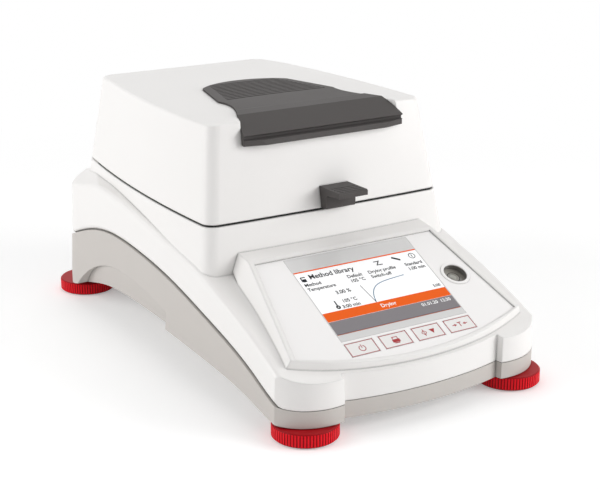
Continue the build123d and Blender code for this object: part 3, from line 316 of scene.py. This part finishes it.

# %% [markdown]
# ## Red wheels
# The levelling wheels are ribbed so that fingers can turn them. The colour is painted darker
# towards the root of each rib, as painted shade between the ribs, and is a little paler at the
# tips.
# The four wheels stand at mirrored places, so the distances are taken from one wheel's axis.

# %% Wheels
RIB_DEPTH = 0.6 * MM
RIM_WIDTH = 0.8 * MM
wheel_middles = {}
for word in CORNERS:
    low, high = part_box(f"wheel_{word}")
    wheel_middles[word] = (low + high) / 2
wheel_radius = (high.x - low.x) / 2
spot = wheel_middles["rear_right"]

wheel = Finish("red_wheel")
reach = distance(abs(wheel.axis("X")) - spot.x, abs(wheel.axis("Y")) - spot.y)
tip = (reach - (wheel_radius - RIB_DEPTH)) / RIB_DEPTH
rounded = wheel.soft_edges(0.15 * MM)
fine = wheel.noise(3500, 3.0)
height = wheel.node("ShaderNodeClamp", {}, {0: tip})
# painted shade: the colour deepens towards the root of each rib
ribs_with_painted_shade = wheel.blend(height, colour("8A0410"), colour("EE1626"))
skin = wheel.blend((wheel_radius - RIM_WIDTH) > reach, ribs_with_painted_shade, colour("A80814"))
wheel.set(Base_Color=skin, Roughness=0.42 + (fine - 0.5) * 0.2, Specular_IOR_Level=0.15)
wheel.set(Normal=wheel.relief(fine, 0.02 * MM, rounded))
dress(wheel, *(f"wheel_{word}" for word in CORNERS))
for word, centre in wheel_middles.items():
    print("wheel", word, "at", tuple(round(v, 4) for v in centre))

# %% [markdown]
# ## Metals
# Sheet parts are brushed in one direction, turned parts carry rings from the lathe, and the
# reflector is polished. Stretched noise gives the first, and noise on the distance from the axis
# the second.

# %% Metal finishes
METAL_EDGE = 0.2 * MM


def metal(name, tone, roughness, stretch=(1, 30, 30), scale=160):
    made = Finish(name)
    rounded = made.soft_edges(METAL_EDGE)
    lines = made.noise(scale, 4.0, stretch)
    smudge = made.noise(22.0, 3.0)
    shade = made.blend(lines * 0.5 + smudge * 0.2, colour(tone), darker(tone, 0.72))
    gloss = roughness + (lines - 0.5) * 0.2 + (smudge - 0.5) * 0.12
    made.set(Base_Color=shade, Metallic=1.0, Roughness=gloss)
    made.set(Normal=made.relief(lines, 0.004 * MM, rounded))
    return made


def turned(name, tone, roughness, centre, ring_scale=2200, depth=0.01):
    made = Finish(name)
    rounded = made.soft_edges(METAL_EDGE)
    reach = distance(made.axis("X") - centre.x, made.axis("Y") - centre.y)
    point = made.node("ShaderNodeCombineXYZ", {}, {"X": reach})
    values = {"Vector": point, "Scale": ring_scale, "Detail": 2.0}
    rings = made.node("ShaderNodeTexNoise", {}, values)
    smudge = made.noise(25.0, 3.0)
    shade = made.blend(rings * 0.4 + smudge * 0.3, colour(tone), darker(tone, 0.75))
    made.set(Base_Color=shade, Metallic=1.0, Roughness=roughness + (rings - 0.5) * 0.2)
    made.set(Normal=made.relief(rings, depth * MM, rounded))
    return made


low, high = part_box("sample_pan")
pan_centre = (low + high) / 2
sheet = metal("brushed_sheet", "CFD0D1", 0.3)
alloy = metal("machined_alloy", "C9CBCC", 0.35, (30, 1, 30))
plated = metal("plated_steel", "A9ABAD", 0.38, (30, 30, 1))
screws = metal("screw_steel", "8E9194", 0.4, (1, 1, 1), 900)
ports = metal("port_metal", "B4B6B8", 0.32, (30, 1, 1))
brass = metal("brass", "B9974F", 0.35, (1, 1, 40), 400)
foil = turned("pan_foil", "D6D8D9", 0.28, pan_centre)
mirror = turned("reflector", "E2E3E4", 0.1, pan_centre, 900, 0.003)
dress(sheet, "chamber_tray", "draft_ring", "pan_spindle", "pan_support", "chassis_plate",
      "lid_frame", "glass_ring")
dress(alloy, "load_cell", "load_cell_mount")
dress(plated, "hinge_brackets", "hinge_leaves")
dress(screws, "housing_screws", "hinge_pins", "lid_screws", "temperature_probe",
      *(f"stud_{word}" for word in CORNERS))
dress(ports, "serial_port", "usb_ports", "display_module")
dress(brass, "foot_inserts")
dress(foil, "sample_pan")
dress(mirror, "heat_reflector")
print("metals given")

# %% [markdown]
# ## Clear glass
# The protective glass under the lamp and the quartz tube are clear. A faint smudge over the surface
# keeps them from looking like nothing at all.

# %% Clear finishes
def clear(name, tone, roughness):
    made = Finish(name)
    smudge = made.noise(30.0, 3.0)
    made.set(Base_Color=made.blend(smudge * 0.3, colour(tone), colour("FFFFFF")))
    made.set(Roughness=roughness + smudge * 0.05, Transmission_Weight=1.0, IOR=1.46)
    return made


dress(clear("heater_glass", "F2F6F5", 0.02), "heater_glass")
dress(clear("lamp_quartz", "F6F5EF", 0.04), "halogen_lamp")
print("glass given")

# %% [markdown]
# ## Boards and the heat screen
# The boards are green with copper under the varnish, and whatever stands up from them is dark. The
# main board lies in the front half and the power board in the rear half, each at its own height.
# The screen under the slots is a sheet with rows of small holes, drawn as a grid of discs that are
# painted black, as painted shade where the dark inside would show through.

# %% Boards and screen
MAIN_SKIN, POWER_SKIN = 1.8 * MM, 8.0 * MM
board = Finish("circuit_board")
brick = {"Vector": board.place(), "Scale": 180.0, "Mortar Size": 0.012,
         "Color1": colour("2C6A43"), "Color2": colour("337A4D"), "Mortar": colour("4C8F58")}
tracks = board.node("ShaderNodeTexBrick", {"offset": 0.37}, brick)
main_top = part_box("main_board")[0].z + MAIN_SKIN
power_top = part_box("power_board")[0].z + POWER_SKIN
height = board.axis("Z")
in_front = board.axis("Y") < 0.0
chip = (height > main_top) * in_front + (height > power_top) * (1 - in_front)
board.set(Base_Color=board.blend(chip, tracks, colour("26262A")),
          Roughness=0.35 + board.noise(400) * 0.2)
dress(board, "main_board", "power_board", "keypad_board")

HOLE_PITCH, HOLE_RADIUS = 2.4 * MM, 0.45 * MM
screen = Finish("heat_screen")
column = screen.axis("X").fold(HOLE_PITCH / 2) - HOLE_PITCH / 4
row = screen.axis("Y").fold(HOLE_PITCH / 2) - HOLE_PITCH / 4
painted_dark_hole = distance(column, row) < HOLE_RADIUS
# painted shade: the holes are painted black
screen.set(Base_Color=screen.blend(painted_dark_hole, colour("4A4A4D"), colour("0B0B0C")), Metallic=0.6,
           Roughness=0.45 + screen.noise(600) * 0.2)
dress(screen, "vent_screen")
print("main board's chips above", round(main_top, 4), "power board's above", round(power_top, 4))

# %% [markdown]
# ## The panel's own grid
# The display, keys and level lie on one slope. Everything drawn there is placed by two numbers,
# across and up the slope in millimetres from the middle of the display, and a third out of the
# surface. Slope and middle are the CAD's own, written here once for everything on the panel.

# %% Panel places
PANEL_SLOPE = math.radians(26.3)
PANEL_CENTRE = Vector((0.0, -136.3, 74.7)) * MM
UP_SLOPE = Vector((0.0, math.cos(PANEL_SLOPE), math.sin(PANEL_SLOPE)))
OUT_OF_PANEL = Vector((0.0, -math.sin(PANEL_SLOPE), math.cos(PANEL_SLOPE)))
PANEL_TURN = Matrix((Vector((1, 0, 0)), UP_SLOPE, OUT_OF_PANEL)).transposed().to_4x4()


def on_panel(x, s, rise=0.0):
    return PANEL_CENTRE + (Vector((x, 0, 0)) + UP_SLOPE * s + OUT_OF_PANEL * rise) * MM


def from_middle(finish, direction):
    """How far a point is from the display's middle along a direction of the slope, in metres."""
    return ((finish.axis("Y") - PANEL_CENTRE.y) * direction.y
            + (finish.axis("Z") - PANEL_CENTRE.z) * direction.z)


key_middles = {}
for word in ("power", "print", "start", "tare"):
    low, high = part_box(f"key_{word}")
    key_middles[word] = (low.x + high.x) / 2 / MM
print("keys at x =", key_middles)

# %% [markdown]
# ## Thin printed shapes
# Print has almost no height, but a shape in the mesh stays sharp at any distance. A stroke is a
# chain of points with a width, and a patch is a filled outline. Both become flat plates a few
# hundredths of a millimetre thick that lie on the surface.

# %% Print helpers
class Print:
    """Collects strokes, patches and words of one colour on one plane, then makes one piece."""

    THICKNESS = 0.03
    MITRE_LIMIT = 0.4
    BOLDER = 0.02

    def __init__(self, name, finish, body, slot, rise):
        self.name, self.finish, self.body, self.slot = name, finish, body, slot
        self.rise = rise
        self.mesh = bmesh.new()

    def patch(self, points):
        self.mesh.faces.new([self.mesh.verts.new((x, y, 0)) for x, y in points])

    def bar(self, x, y, width, height):
        w, h = width / 2, height / 2
        self.patch([(x - w, y - h), (x + w, y - h), (x + w, y + h), (x - w, y + h)])

    def stroke(self, points, width, closed=False):
        line = [Vector(p) for p in points]
        count = len(line)
        pairs = []
        for i, point in enumerate(line):
            before = line[i - 1] if i or closed else point
            after = line[(i + 1) % count] if i + 1 < count or closed else point
            run_in = ((point - before) if point != before else (after - point)).normalized()
            run_out = (after - point).normalized() if after != point else run_in
            middle = (run_in + run_out).normalized()
            side = Vector((-middle.y, middle.x))
            spread = width / 2 / max(self.MITRE_LIMIT, middle.dot(run_out))
            pairs.append((point + side * spread, point - side * spread))
        rows = [[self.mesh.verts.new((*p, 0)) for p in pair] for pair in pairs]
        for i in range(count if closed else count - 1):
            a, b = rows[i], rows[(i + 1) % count]
            self.mesh.faces.new((a[1], b[1], b[0], a[0]))

    def ring(self, x, y, radius, width, start=0.0, end=360.0, steps=32):
        closed = end - start >= 360
        count = steps if closed else steps + 1
        angles = [math.radians(start + (end - start) * i / steps) for i in range(count)]
        points = [(x + radius * math.cos(a), y + radius * math.sin(a)) for a in angles]
        self.stroke(points, width, closed)

    def words(self, text, x, y, size, align="LEFT"):
        curve = bpy.data.curves.new(self.name + "_words", "FONT")
        curve.body = text
        curve.size = size
        curve.offset = self.BOLDER * size
        curve.align_x = align
        curve.resolution_u = 3
        holder = in_scene(self.name + "_words", curve)
        bpy.context.view_layer.update()
        flat = bpy.data.meshes.new_from_object(holder)
        flat.transform(Matrix.Translation((x, y, 0)))
        self.mesh.from_mesh(flat)
        bpy.data.objects.remove(holder)
        bpy.data.curves.remove(curve)
        bpy.data.meshes.remove(flat)

    def make(self):
        bmesh.ops.remove_doubles(self.mesh, verts=self.mesh.verts, dist=1e-4)
        top = bmesh.ops.extrude_face_region(self.mesh, geom=self.mesh.faces[:])
        lifted = [v for v in top["geom"] if isinstance(v, bmesh.types.BMVert)]
        bmesh.ops.translate(self.mesh, verts=lifted, vec=(0, 0, self.THICKNESS))
        bmesh.ops.recalc_face_normals(self.mesh, faces=self.mesh.faces)
        at = Matrix.Translation(on_panel(0, 0, self.rise))
        self.mesh.transform(at @ PANEL_TURN @ Matrix.Scale(MM, 4))
        data = as_mesh(self.name, self.mesh)
        print(self.name, "has", len(data.polygons), "faces")
        add_piece(self.name, data, self.finish, self.body)


def ink(name, tone, glow=0.0):
    """A printed or lit colour, slightly uneven like ink or a pixel grid."""
    made = Finish(name)
    dots = made.noise(2600, 1.0)
    shade = made.blend(dots * 0.35, colour(tone), darker(tone, 0.86))
    made.set(Base_Color=shade, Roughness=0.3 + dots * 0.1, Specular_IOR_Level=0.1)
    if glow:
        made.set(Emission_Color=shade, Emission_Strength=glow)
    return made


print("print helpers ready")

# %% [markdown]
# ## The display
# Under its cover glass the real display glows: a white field with a header, a drying curve and two
# bars at the foot. The glass node carries the pale border and the lit field, which a formula keeps
# apart, and the drawings lie on it.

# %% Display field
ACTIVE_HALF = (54.0, 32.4)
glass = Finish("display_glass")
across = abs(glass.axis("X") / MM)
up = abs(from_middle(glass, UP_SLOPE) / MM)
inside = (across < ACTIVE_HALF[0]) * (up < ACTIVE_HALF[1])
pixel = glass.noise(2400, 1.0)
border = glass.blend(glass.noise(40, 2.0) * 0.3, colour("D9D8D7"), colour("E4E3E2"))
field = glass.blend(pixel * 0.2, colour("FDFDFD"), colour("EFF2F6"))
glass.set(Base_Color=glass.blend(inside, border, field), Roughness=0.12 + pixel * 0.06)
glass.set(Emission_Color=glass.blend(inside, colour("000000"), field))
glass.set(Emission_Strength=0.16, Coat_Weight=0.2)
dress(glass, "touch_glass")
print("display field:", [2 * half for half in ACTIVE_HALF], "mm")

# %% [markdown]
# ## Bars and curve on the display
# An orange line runs along the top, an orange bar names the state, and a grey bar holds the date.
# The curve is the one that every sample draws as it dries: a steep rise that levels off.

# %% Display bars and curve
PRINT_RISE = 0.01
BAR_WIDTH = 2 * ACTIVE_HALF[0]
ORANGE_BARS = ((ACTIVE_HALF[1] - 0.6, 1.2), (-14.8, 8.6), (0.4 - ACTIVE_HALF[1], 0.8))
GREY_BAR = (-25.8, 13.0)
CURVE_STEPS = 42


def on_display(name, finish, rise=PRINT_RISE):
    return Print(name, finish, "base", "display_glass", rise)


def curve_point(step):
    rise = 17.0 * (1 - math.exp(-0.16 * step)) ** 0.8 + 0.06 * step
    return (-7.5 + 0.9 * step, -10.0 + rise)


lit = on_display("display_orange_bars", ink("display_orange", "F2641C", 0.06))
for y, height in ORANGE_BARS:
    lit.bar(0, y, BAR_WIDTH, height)
lit.make()
plain = on_display("display_foot_bar", ink("display_grey", "8C888B"))
plain.bar(0, GREY_BAR[0], BAR_WIDTH, GREY_BAR[1])
plain.make()
curved = on_display("display_curve", ink("display_blue", "3C7396"))
curved.stroke([curve_point(step) for step in range(CURVE_STEPS)], 0.6)
curved.make()

# %% [markdown]
# ## Words and icons on the display
# The words are only the plain ones that any such instrument shows: what is measured, how hot, how
# long. Labels start at the left of their column and values end at its right. The icons are a few
# strokes and bars each.

# %% Display words and icons
COLUMN_LEFT, COLUMN_RIGHT = (-52.0, -2.5), (3.0, 52.0)
ROW_TOP, ROW_STEP, ROW_SIZE = 17.2, 4.8, 4.4
SETTINGS = ((COLUMN_RIGHT, (("Drying profile", "Standard"), ("Switch-off", "1:00 min"))),
            (COLUMN_LEFT, (("Method", "Default"), ("Temperature", "105 °C"))))
READINGS = (("3.00 %", -20.0, 4.6, 4.8), ("105 °C", -20.0, -4.2, 4.4),
            ("3:00 min", -20.0, -9.4, 4.4), ("5:00", 52.0, -8.4, 3.8))
FALLING_LINE = [(-10.5, 8.0), (-7.5, -10.2), (-7.4, -10.2)]
LIBRARY_BARS = ((-49.5, 26.6, 4.2, 0.9), (-51.2, 24.4, 0.9, 4.2), (-49.2, 23.4, 3.0, 3.0))
THERMOMETER_STEM, THERMOMETER_BULB = (-38.5, -4.0, 1.0, 6.0), (-38.5, -7.4, 1.2, 1.2)
HOURGLASS = [(13.0, 27.6), (17.6, 27.6), (14.6, 24.0), (19.4, 23.8)]
PEN = [(30.0, 28.4), (36.0, 24.4)]
HELP_RING, HELP_BAR = (47.6, 26.2, 2.6, 0.6), (47.6, 26.2, 0.7, 2.6)

text = on_display("display_words", ink("display_dark", "26292E"))
text.stroke(FALLING_LINE, 0.5)
for bar in LIBRARY_BARS:
    text.bar(*bar)
text.words("Method library", -44.5, 23.6, 6.4)
for (left, right), rows in SETTINGS:
    for line, (label, value) in enumerate(rows):
        text.words(label, left, ROW_TOP - ROW_STEP * line, ROW_SIZE)
        text.words(value, right, ROW_TOP - ROW_STEP * line, ROW_SIZE, "RIGHT")
for words, x, y, size in READINGS:
    text.words(words, x, y, size, "RIGHT")
text.bar(*THERMOMETER_STEM)
text.ring(*THERMOMETER_BULB)
text.stroke(HOURGLASS, 0.8)
text.stroke(PEN, 1.8)
text.ring(*HELP_RING)
text.bar(*HELP_BAR)
text.make()
bright = on_display("display_light_words", ink("display_white", "FFFFFF", 0.1), PRINT_RISE + 0.04)
bright.words("Drying", 0.0, -16.4, 4.8, "CENTER")
bright.words("01.01.20  12:30", 51.0, -23.8, 4.2, "RIGHT")
bright.make()

# %% [markdown]
# ## The keys
# Each key has a thin red frame and a small sign that any user knows: power, print, start and stop,
# and tare. They ride on their own key, so they move with it when it is pressed.

# %% Key marks
KEY_S, KEY_RISE = -47.3, 0.005
FRAME_HALF = (11.3, 5.8)
key_ink = ink("key_ink", "B4474A")


def key_print(word):
    """The framed print of one key, and its middle across the panel."""
    made = Print(f"key_{word}_mark", key_ink, f"key_{word}_body", "key_white", KEY_RISE)
    x = key_middles[word]
    w, h = FRAME_HALF
    corners = [(x - w, KEY_S - h), (x + w, KEY_S - h), (x + w, KEY_S + h), (x - w, KEY_S + h)]
    made.stroke(corners, 0.5, True)
    return made, x


made, x = key_print("power")
made.ring(x, KEY_S - 0.3, 2.5, 0.6, 118, 422)
made.bar(x, KEY_S + 1.6, 0.6, 3.2)
made.make()
made, x = key_print("print")
low_s, high_s = KEY_S + 0.6, KEY_S + 2.6
made.bar(x, KEY_S - 0.9, 6.2, 2.8)
made.stroke([(x - 2.0, low_s), (x - 2.0, high_s), (x + 2.0, high_s), (x + 2.0, low_s)], 0.6)
made.bar(x, KEY_S - 2.9, 4.2, 0.8)
made.make()
made, x = key_print("start")
low_s, high_s = KEY_S - 2.2, KEY_S + 2.2
made.stroke([(x - 5.6, KEY_S), (x - 3.6, high_s), (x - 1.6, KEY_S), (x - 3.6, low_s)], 0.5, True)
made.bar(x - 3.6, KEY_S, 0.5, 6.4)
made.patch([(x + 1.4, KEY_S + 2.0), (x + 3.8, low_s), (x + 6.2, KEY_S + 2.0)])
made.make()
made, x = key_print("tare")
for side in (-1, 1):
    made.stroke([(x + side * 6.6, KEY_S), (x + side * 4.6, KEY_S)], 0.6)
    back, tip = x + side * 4.8, x + side * 2.6
    made.patch([(back, KEY_S - 1.2), (tip, KEY_S), (back, KEY_S + 1.2)])
made.bar(x, KEY_S - 0.3, 0.7, 3.8)
made.bar(x, KEY_S + 1.8, 3.2, 0.7)
made.make()

# %% [markdown]
# ## Turned pieces
# The bubble, the target ring, screw heads and studs are all round about one axis, so each is a
# profile swept about it. A point on the axis becomes one vertex, which closes the piece.

# %% Sweep a profile
def revolved(name, profile, centre, axis_turn, finish, body, steps=48):
    """A turned piece: the profile's (radius, height) points swept round an axis at centre."""
    mesh = bmesh.new()
    angles = [2 * math.pi * i / steps for i in range(steps)]
    rows = []
    for radius, height in profile:
        around = angles if radius > 0 else [0.0]
        points = [(radius * math.cos(a), radius * math.sin(a), height) for a in around]
        rows.append([mesh.verts.new(Vector(point) * MM) for point in points])
    for first, second in zip(rows, rows[1:]):
        for i in range(steps):
            j = (i + 1) % steps
            face = (first[i % len(first)], first[j % len(first)],
                    second[j % len(second)], second[i % len(second)])
            unique = list(dict.fromkeys(face))
            if len(unique) > 2:
                mesh.faces.new(unique)
    bmesh.ops.recalc_face_normals(mesh, faces=mesh.faces)
    mesh.transform(Matrix.Translation(centre) @ axis_turn)
    data = as_mesh(name, mesh)
    for face in data.polygons:
        face.use_smooth = True
    print(name, "has", len(data.polygons), "faces")
    add_piece(name, data, finish, body)


print("profile sweep ready")

# %% [markdown]
# ## The level
# A round vial of tinted fluid with a bubble and a target ring under its glass. The bubble is a
# shallow glossy dome, so that it reads as a bubble from every side. The cup around the vial is
# part of the white bezel, and is darker below the panel's surface, where little light gets in.

# %% Level
LEVEL_X, LEVEL_TOP = 71.0, -4.0
BUBBLE_S = 0.6
CUP_START = -0.25 * MM
BUBBLE = [(0.0, 0.7), (1.2, 0.62), (2.2, 0.4), (2.9, 0.1), (3.0, 0.0), (0.0, 0.0)]
TARGET = [(4.6, 0.0), (5.1, 0.0), (5.1, 0.06), (4.6, 0.06), (4.6, 0.0)]

fluid = Finish("level_fluid")
murk = fluid.blend(fluid.noise(260, 2.0) * 0.5, colour("8F8B83"), colour("A29F96"))
fluid.set(Base_Color=murk, Roughness=0.08 + fluid.noise(60) * 0.05, Coat_Weight=0.8)
dress(fluid, "level_vial")
cup = Finish("level_cup")
inner = cup.blend(cup.noise(300, 2.0) * 0.4, colour("66635F"), colour("7C7974"))
outer = cup.blend(cup.noise(300, 2.0) * 0.2, colour("FBF9F8"), colour("F1EFED"))
below = from_middle(cup, OUT_OF_PANEL) < CUP_START
cup.set(Base_Color=cup.blend(below, outer, inner), Roughness=0.3 + cup.noise(500) * 0.1,
        Normal=cup.soft_edges(0.3 * MM))
dress(cup, "level_bezel")
bubble = moulded("level_bubble", "A3A299", "D2D2CA", 0.1, grain=1.0, depth=0.001, coat=1.0)
revolved("level_bubble", BUBBLE, on_panel(LEVEL_X, BUBBLE_S, LEVEL_TOP), PANEL_TURN, bubble,
         "base")
revolved("level_target", TARGET, on_panel(LEVEL_X, 0, LEVEL_TOP), PANEL_TURN,
         ink("level_target", "1E1E1E"), "base")

# %% [markdown]
# ## A strip of painted shade under the lid
# A dark strip lies on the pedestal just inside the gap under the lid, as painted shade, so the gap
# reads as a black line. Its path is the outline of the lid's own lower edge, moved inwards. It
# stops before the hinges.

# %% Path of the shade strip
RIM_BAND = 0.1 * MM
SHORTEST_STEP = 0.5 * MM
rim_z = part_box("lid_shell")[0].z
ledge_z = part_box("upper_housing")[1].z
lid_vertices = nodes["lid_shell"].data.vertices
edge_points = [v.co.xy for v in lid_vertices if v.co.z < rim_z + RIM_BAND]
outline = [edge_points[i] for i in convex_hull_2d(edge_points)]
outline = [p for i, p in enumerate(outline) if (p - outline[i - 1]).length > SHORTEST_STEP]


def moved_in(loop, inset):
    """The closed loop's points moved inwards by inset millimetres."""
    centre = sum(loop, Vector((0, 0))) / len(loop)
    moved = []
    for i, point in enumerate(loop):
        run = (loop[(i + 1) % len(loop)] - loop[i - 1]).normalized()
        side = Vector((-run.y, run.x))
        if side.dot(centre - point) < 0:
            side = -side
        moved.append(point + side * inset * MM)
    return moved


print("outline points:", len(outline))

# %% Shade strip
SHADE_STRIP_OUTER, SHADE_STRIP_INNER = 1.0, 2.6
SHADE_STRIP_REAR = 0.148
shade_strip_top = rim_z - 0.3 * MM
pairs = list(zip(moved_in(outline, SHADE_STRIP_OUTER), moved_in(outline, SHADE_STRIP_INNER)))
start = max(range(len(pairs)), key=lambda i: pairs[i][0].y)
pairs = [pair for pair in pairs[start:] + pairs[:start] if pair[0].y < SHADE_STRIP_REAR]
mesh = bmesh.new()
rows = []
for outer, inner in pairs:
    section = ((outer, ledge_z), (outer, shade_strip_top), (inner, shade_strip_top), (inner, ledge_z))
    rows.append([mesh.verts.new((p.x, p.y, z)) for p, z in section])
for first, second in zip(rows, rows[1:]):
    for i in range(4):
        j = (i + 1) % 4
        mesh.faces.new((first[i], first[j], second[j], second[i]))
mesh.faces.new(rows[0])
mesh.faces.new(rows[-1][::-1])
bmesh.ops.recalc_face_normals(mesh, faces=mesh.faces)
# painted shade: a dark strip that makes the gap under the lid read black
add_piece("lid_shade_strip", as_mesh("lid_shade_strip", mesh), rubber, "base")
print("shade strip points:", len(rows))

# %% [markdown]
# ## The lamp's filament
# A ring-shaped halogen tube holds a fine coiled wire. It shows through the quartz when the lid is
# up, so it is drawn as a thin bevelled curve that winds round the middle line of the tube.

# %% Filament
LAMP_RING, LAMP_HEIGHT, LAMP_GAP = 38.0, 141.0, 24.0
COIL_RADIUS, COIL_TURNS, COIL_STEPS = 1.3, 84, 8
WIRE_RADIUS = 0.16
coil = bpy.data.curves.new("lamp_filament", "CURVE")
coil.dimensions = "3D"
coil.bevel_depth = WIRE_RADIUS * MM
coil.bevel_resolution = 1
line = coil.splines.new("POLY")
count = COIL_TURNS * COIL_STEPS
line.points.add(count)
for i in range(count + 1):
    around_ring = math.radians(90 + LAMP_GAP + (360 - 2 * LAMP_GAP) * i / count)
    around_tube = 2 * math.pi * i / COIL_STEPS
    out = LAMP_RING + COIL_RADIUS * math.cos(around_tube)
    point = Vector((out * math.cos(around_ring), out * math.sin(around_ring) + pan_centre.y / MM,
                    LAMP_HEIGHT + COIL_RADIUS * math.sin(around_tube)))
    line.points[i].co = (*(point * MM), 1.0)
wire = metal("filament_wire", "8D8A86", 0.4, (1, 1, 1), 700)
add_piece("lamp_filament", coil, wire, "lid")
print("filament turns:", COIL_TURNS)

# %% [markdown]
# ## Fasteners on the rear
# The connector panel is held by small domed screws, and the serial port has a threaded stud at
# each side. The rear wall leans a little, so they are set square to it.

# %% Rear fasteners
REAR_LEAN = math.radians(2.7)
REAR_AT_DRAFT, DRAFT_Z = 184.5, 26.0
OUT_OF_REAR = Vector((0, math.cos(REAR_LEAN), math.sin(REAR_LEAN)))
UP_REAR = Vector((0, -math.sin(REAR_LEAN), math.cos(REAR_LEAN)))
REAR_TURN = Matrix((Vector((-1, 0, 0)), UP_REAR, OUT_OF_REAR)).transposed().to_4x4()
STUD_REACH, STUD_RISE, STUD_SIDES = 12.5, 0.8, 6
STUD = [(0.0, -0.6), (2.6, -0.6), (2.6, 4.2), (2.2, 4.6), (1.2, 4.6), (1.2, 1.0), (0.0, 1.0)]
SCREW_INSET, SCREW_LOW, SCREW_HIGH = (4.5, 5.0), 61.5, 94.5
SCREW = [(0.0, 0.5), (0.9, 0.5), (1.1, 1.3), (2.0, 1.0), (2.8, 0.3), (3.0, -0.3), (0.0, -0.3)]


def on_rear(x, z, rise=0.0):
    y = REAR_AT_DRAFT - (z - DRAFT_Z) * math.tan(REAR_LEAN)
    return Vector((x, y, z)) * MM + OUT_OF_REAR * rise * MM


low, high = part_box("serial_port")
port = (low + high) / 2 / MM
for word, side in (("left", -1), ("right", 1)):
    place = on_rear(port.x + side * STUD_REACH, port.z, STUD_RISE)
    revolved(f"port_stud_{word}", STUD, place, REAR_TURN, ports, "base", STUD_SIDES)
low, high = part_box("rear_panel")
left, right = low.x / MM + SCREW_INSET[0], high.x / MM - SCREW_INSET[1]
for word, x, z in (("a", left, SCREW_LOW), ("b", left, SCREW_HIGH), ("c", right, SCREW_LOW)):
    place = on_rear(x, z)
    revolved(f"panel_screw_{word}", SCREW, place, REAR_TURN, screws, "base", 24)

# %% [markdown]
# ## The studio's lamps
# The photograph has a white studio and soft light from both sides with little from the camera's
# own direction, which leaves a grey band down each rounded front corner. Three large area lamps
# give that.

# %% Lamps
LAMP_AIM = (0.0, 0.0, 0.08)
LAMPS = (("left_box", (1.1, 1.0), (-1.5, 0.45, 0.75), 14.5),
         ("right_box", (1.1, 1.0), (1.2, -1.25, 0.75), 19.5),
         ("top_box", (1.2, 1.2), (0.2, 0.4, 1.6), 4.6))
for name, size, place, power in LAMPS:
    lamp_data = bpy.data.lights.new(name, "AREA")
    lamp_data.shape = "RECTANGLE"
    lamp_data.size, lamp_data.size_y = size
    lamp_data.energy = power
    lamp = in_scene(name, lamp_data)
    lamp.location = place
    lamp.rotation_euler = (Vector(place) - Vector(LAMP_AIM)).to_track_quat("Z", "Y").to_euler()
    print(name, power, "W")

# %% [markdown]
# ## A sky that looks white
# The background of the photograph is plain white, but a sky bright enough for that would flood the
# object with light. So the camera and the reflections see white, and what lights the object is a
# dimmer shader. The same switch serves the floor.

# %% Sky
WHITE = (1, 1, 1, 1)
SKY_POWER = 0.34


def showing_white(bench, lighting, shown):
    """The camera and reflections see one shader, and the object is lit by the other."""
    rays = [bench.node("ShaderNodeLightPath", {}, {}, f"Is {kind} Ray")
            for kind in ("Camera", "Glossy", "Transmission")]
    seen = rays[0]
    for ray in rays[1:]:
        seen = seen.math("MAXIMUM", seen, ray)
    bench.show(bench.node("ShaderNodeMixShader", {}, {0: seen, 1: lighting, 2: shown}))


world = bpy.data.worlds.new("studio")
bpy.context.scene.world = world
world.use_nodes = True
sky = Bench(world.node_tree, "ShaderNodeOutputWorld")
dim = sky.node("ShaderNodeBackground", {}, {"Color": WHITE, "Strength": SKY_POWER})
showing_white(sky, dim, sky.node("ShaderNodeBackground", {}, {"Color": WHITE}))
print("sky lights at", SKY_POWER)

# %% [markdown]
# ## The floor
# A sheet of white paper catches the soft shadows close to the feet. Further out it fades into pure
# white, so that no horizon shows.

# %% Floor
FLOOR_HALF = 6.0
FADE_START, FADE_END = 0.22, 0.8
PAPER_ROUGHNESS = 0.9
PAPER_TONE, PAPER_GLOW = (0.86, 0.86, 0.86, 1), 0.3
floor_mesh = bmesh.new()
bmesh.ops.create_grid(floor_mesh, x_segments=8, y_segments=8, size=FLOOR_HALF)
floor = in_scene("floor", as_mesh("floor", floor_mesh))
paper = Finish("paper")
tone = paper.blend(paper.noise(3, 2.0) * 0.1, colour("FFFFFF"), colour("F4F4F4"))
paper.set(Base_Color=tone, Roughness=PAPER_ROUGHNESS)
near_values = {"Base Color": PAPER_TONE, "Roughness": PAPER_ROUGHNESS,
               "Emission Color": WHITE, "Emission Strength": PAPER_GLOW}
near = paper.node("ShaderNodeBsdfPrincipled", {}, near_values)
far = paper.node("ShaderNodeEmission", {}, {})
reach = distance(paper.axis("X"), paper.axis("Y"))
fade = paper.node("ShaderNodeMapRange", {"interpolation_type": "SMOOTHSTEP"},
                  {0: reach, 1: FADE_START, 2: FADE_END})
showing_white(paper, paper.light(),
              paper.node("ShaderNodeMixShader", {}, {0: fade, 1: near, 2: far}))
floor.data.materials.append(paper.material)
print("floor fades from", FADE_START, "to", FADE_END, "m")

# %% [markdown]
# ## The camera
# It stands to the left in front of the object and looks down on it, as in the photograph. Its
# place, direction and focal length were fitted to the corners of the lid, the display and the feet.

# %% Camera
AZIMUTH, ELEVATION = math.radians(-32.3), math.radians(17.7)
CAMERA_PLACE = (-0.5566, -0.9116, 0.4136)
FOCAL_LENGTH, SENSOR_WIDTH = 83.86, 36
back = Vector((math.sin(AZIMUTH) * math.cos(ELEVATION), -math.cos(AZIMUTH) * math.cos(ELEVATION),
               math.sin(ELEVATION)))
camera_data = bpy.data.cameras.new("camera")
camera_data.lens = FOCAL_LENGTH
camera_data.sensor_width = SENSOR_WIDTH
camera = in_scene("camera", camera_data)
camera.location = CAMERA_PLACE
camera.rotation_euler = back.to_track_quat("Z", "Y").to_euler()
bpy.context.scene.camera = camera
bpy.context.scene.view_settings.view_transform = "Standard"
print("camera at", CAMERA_PLACE)
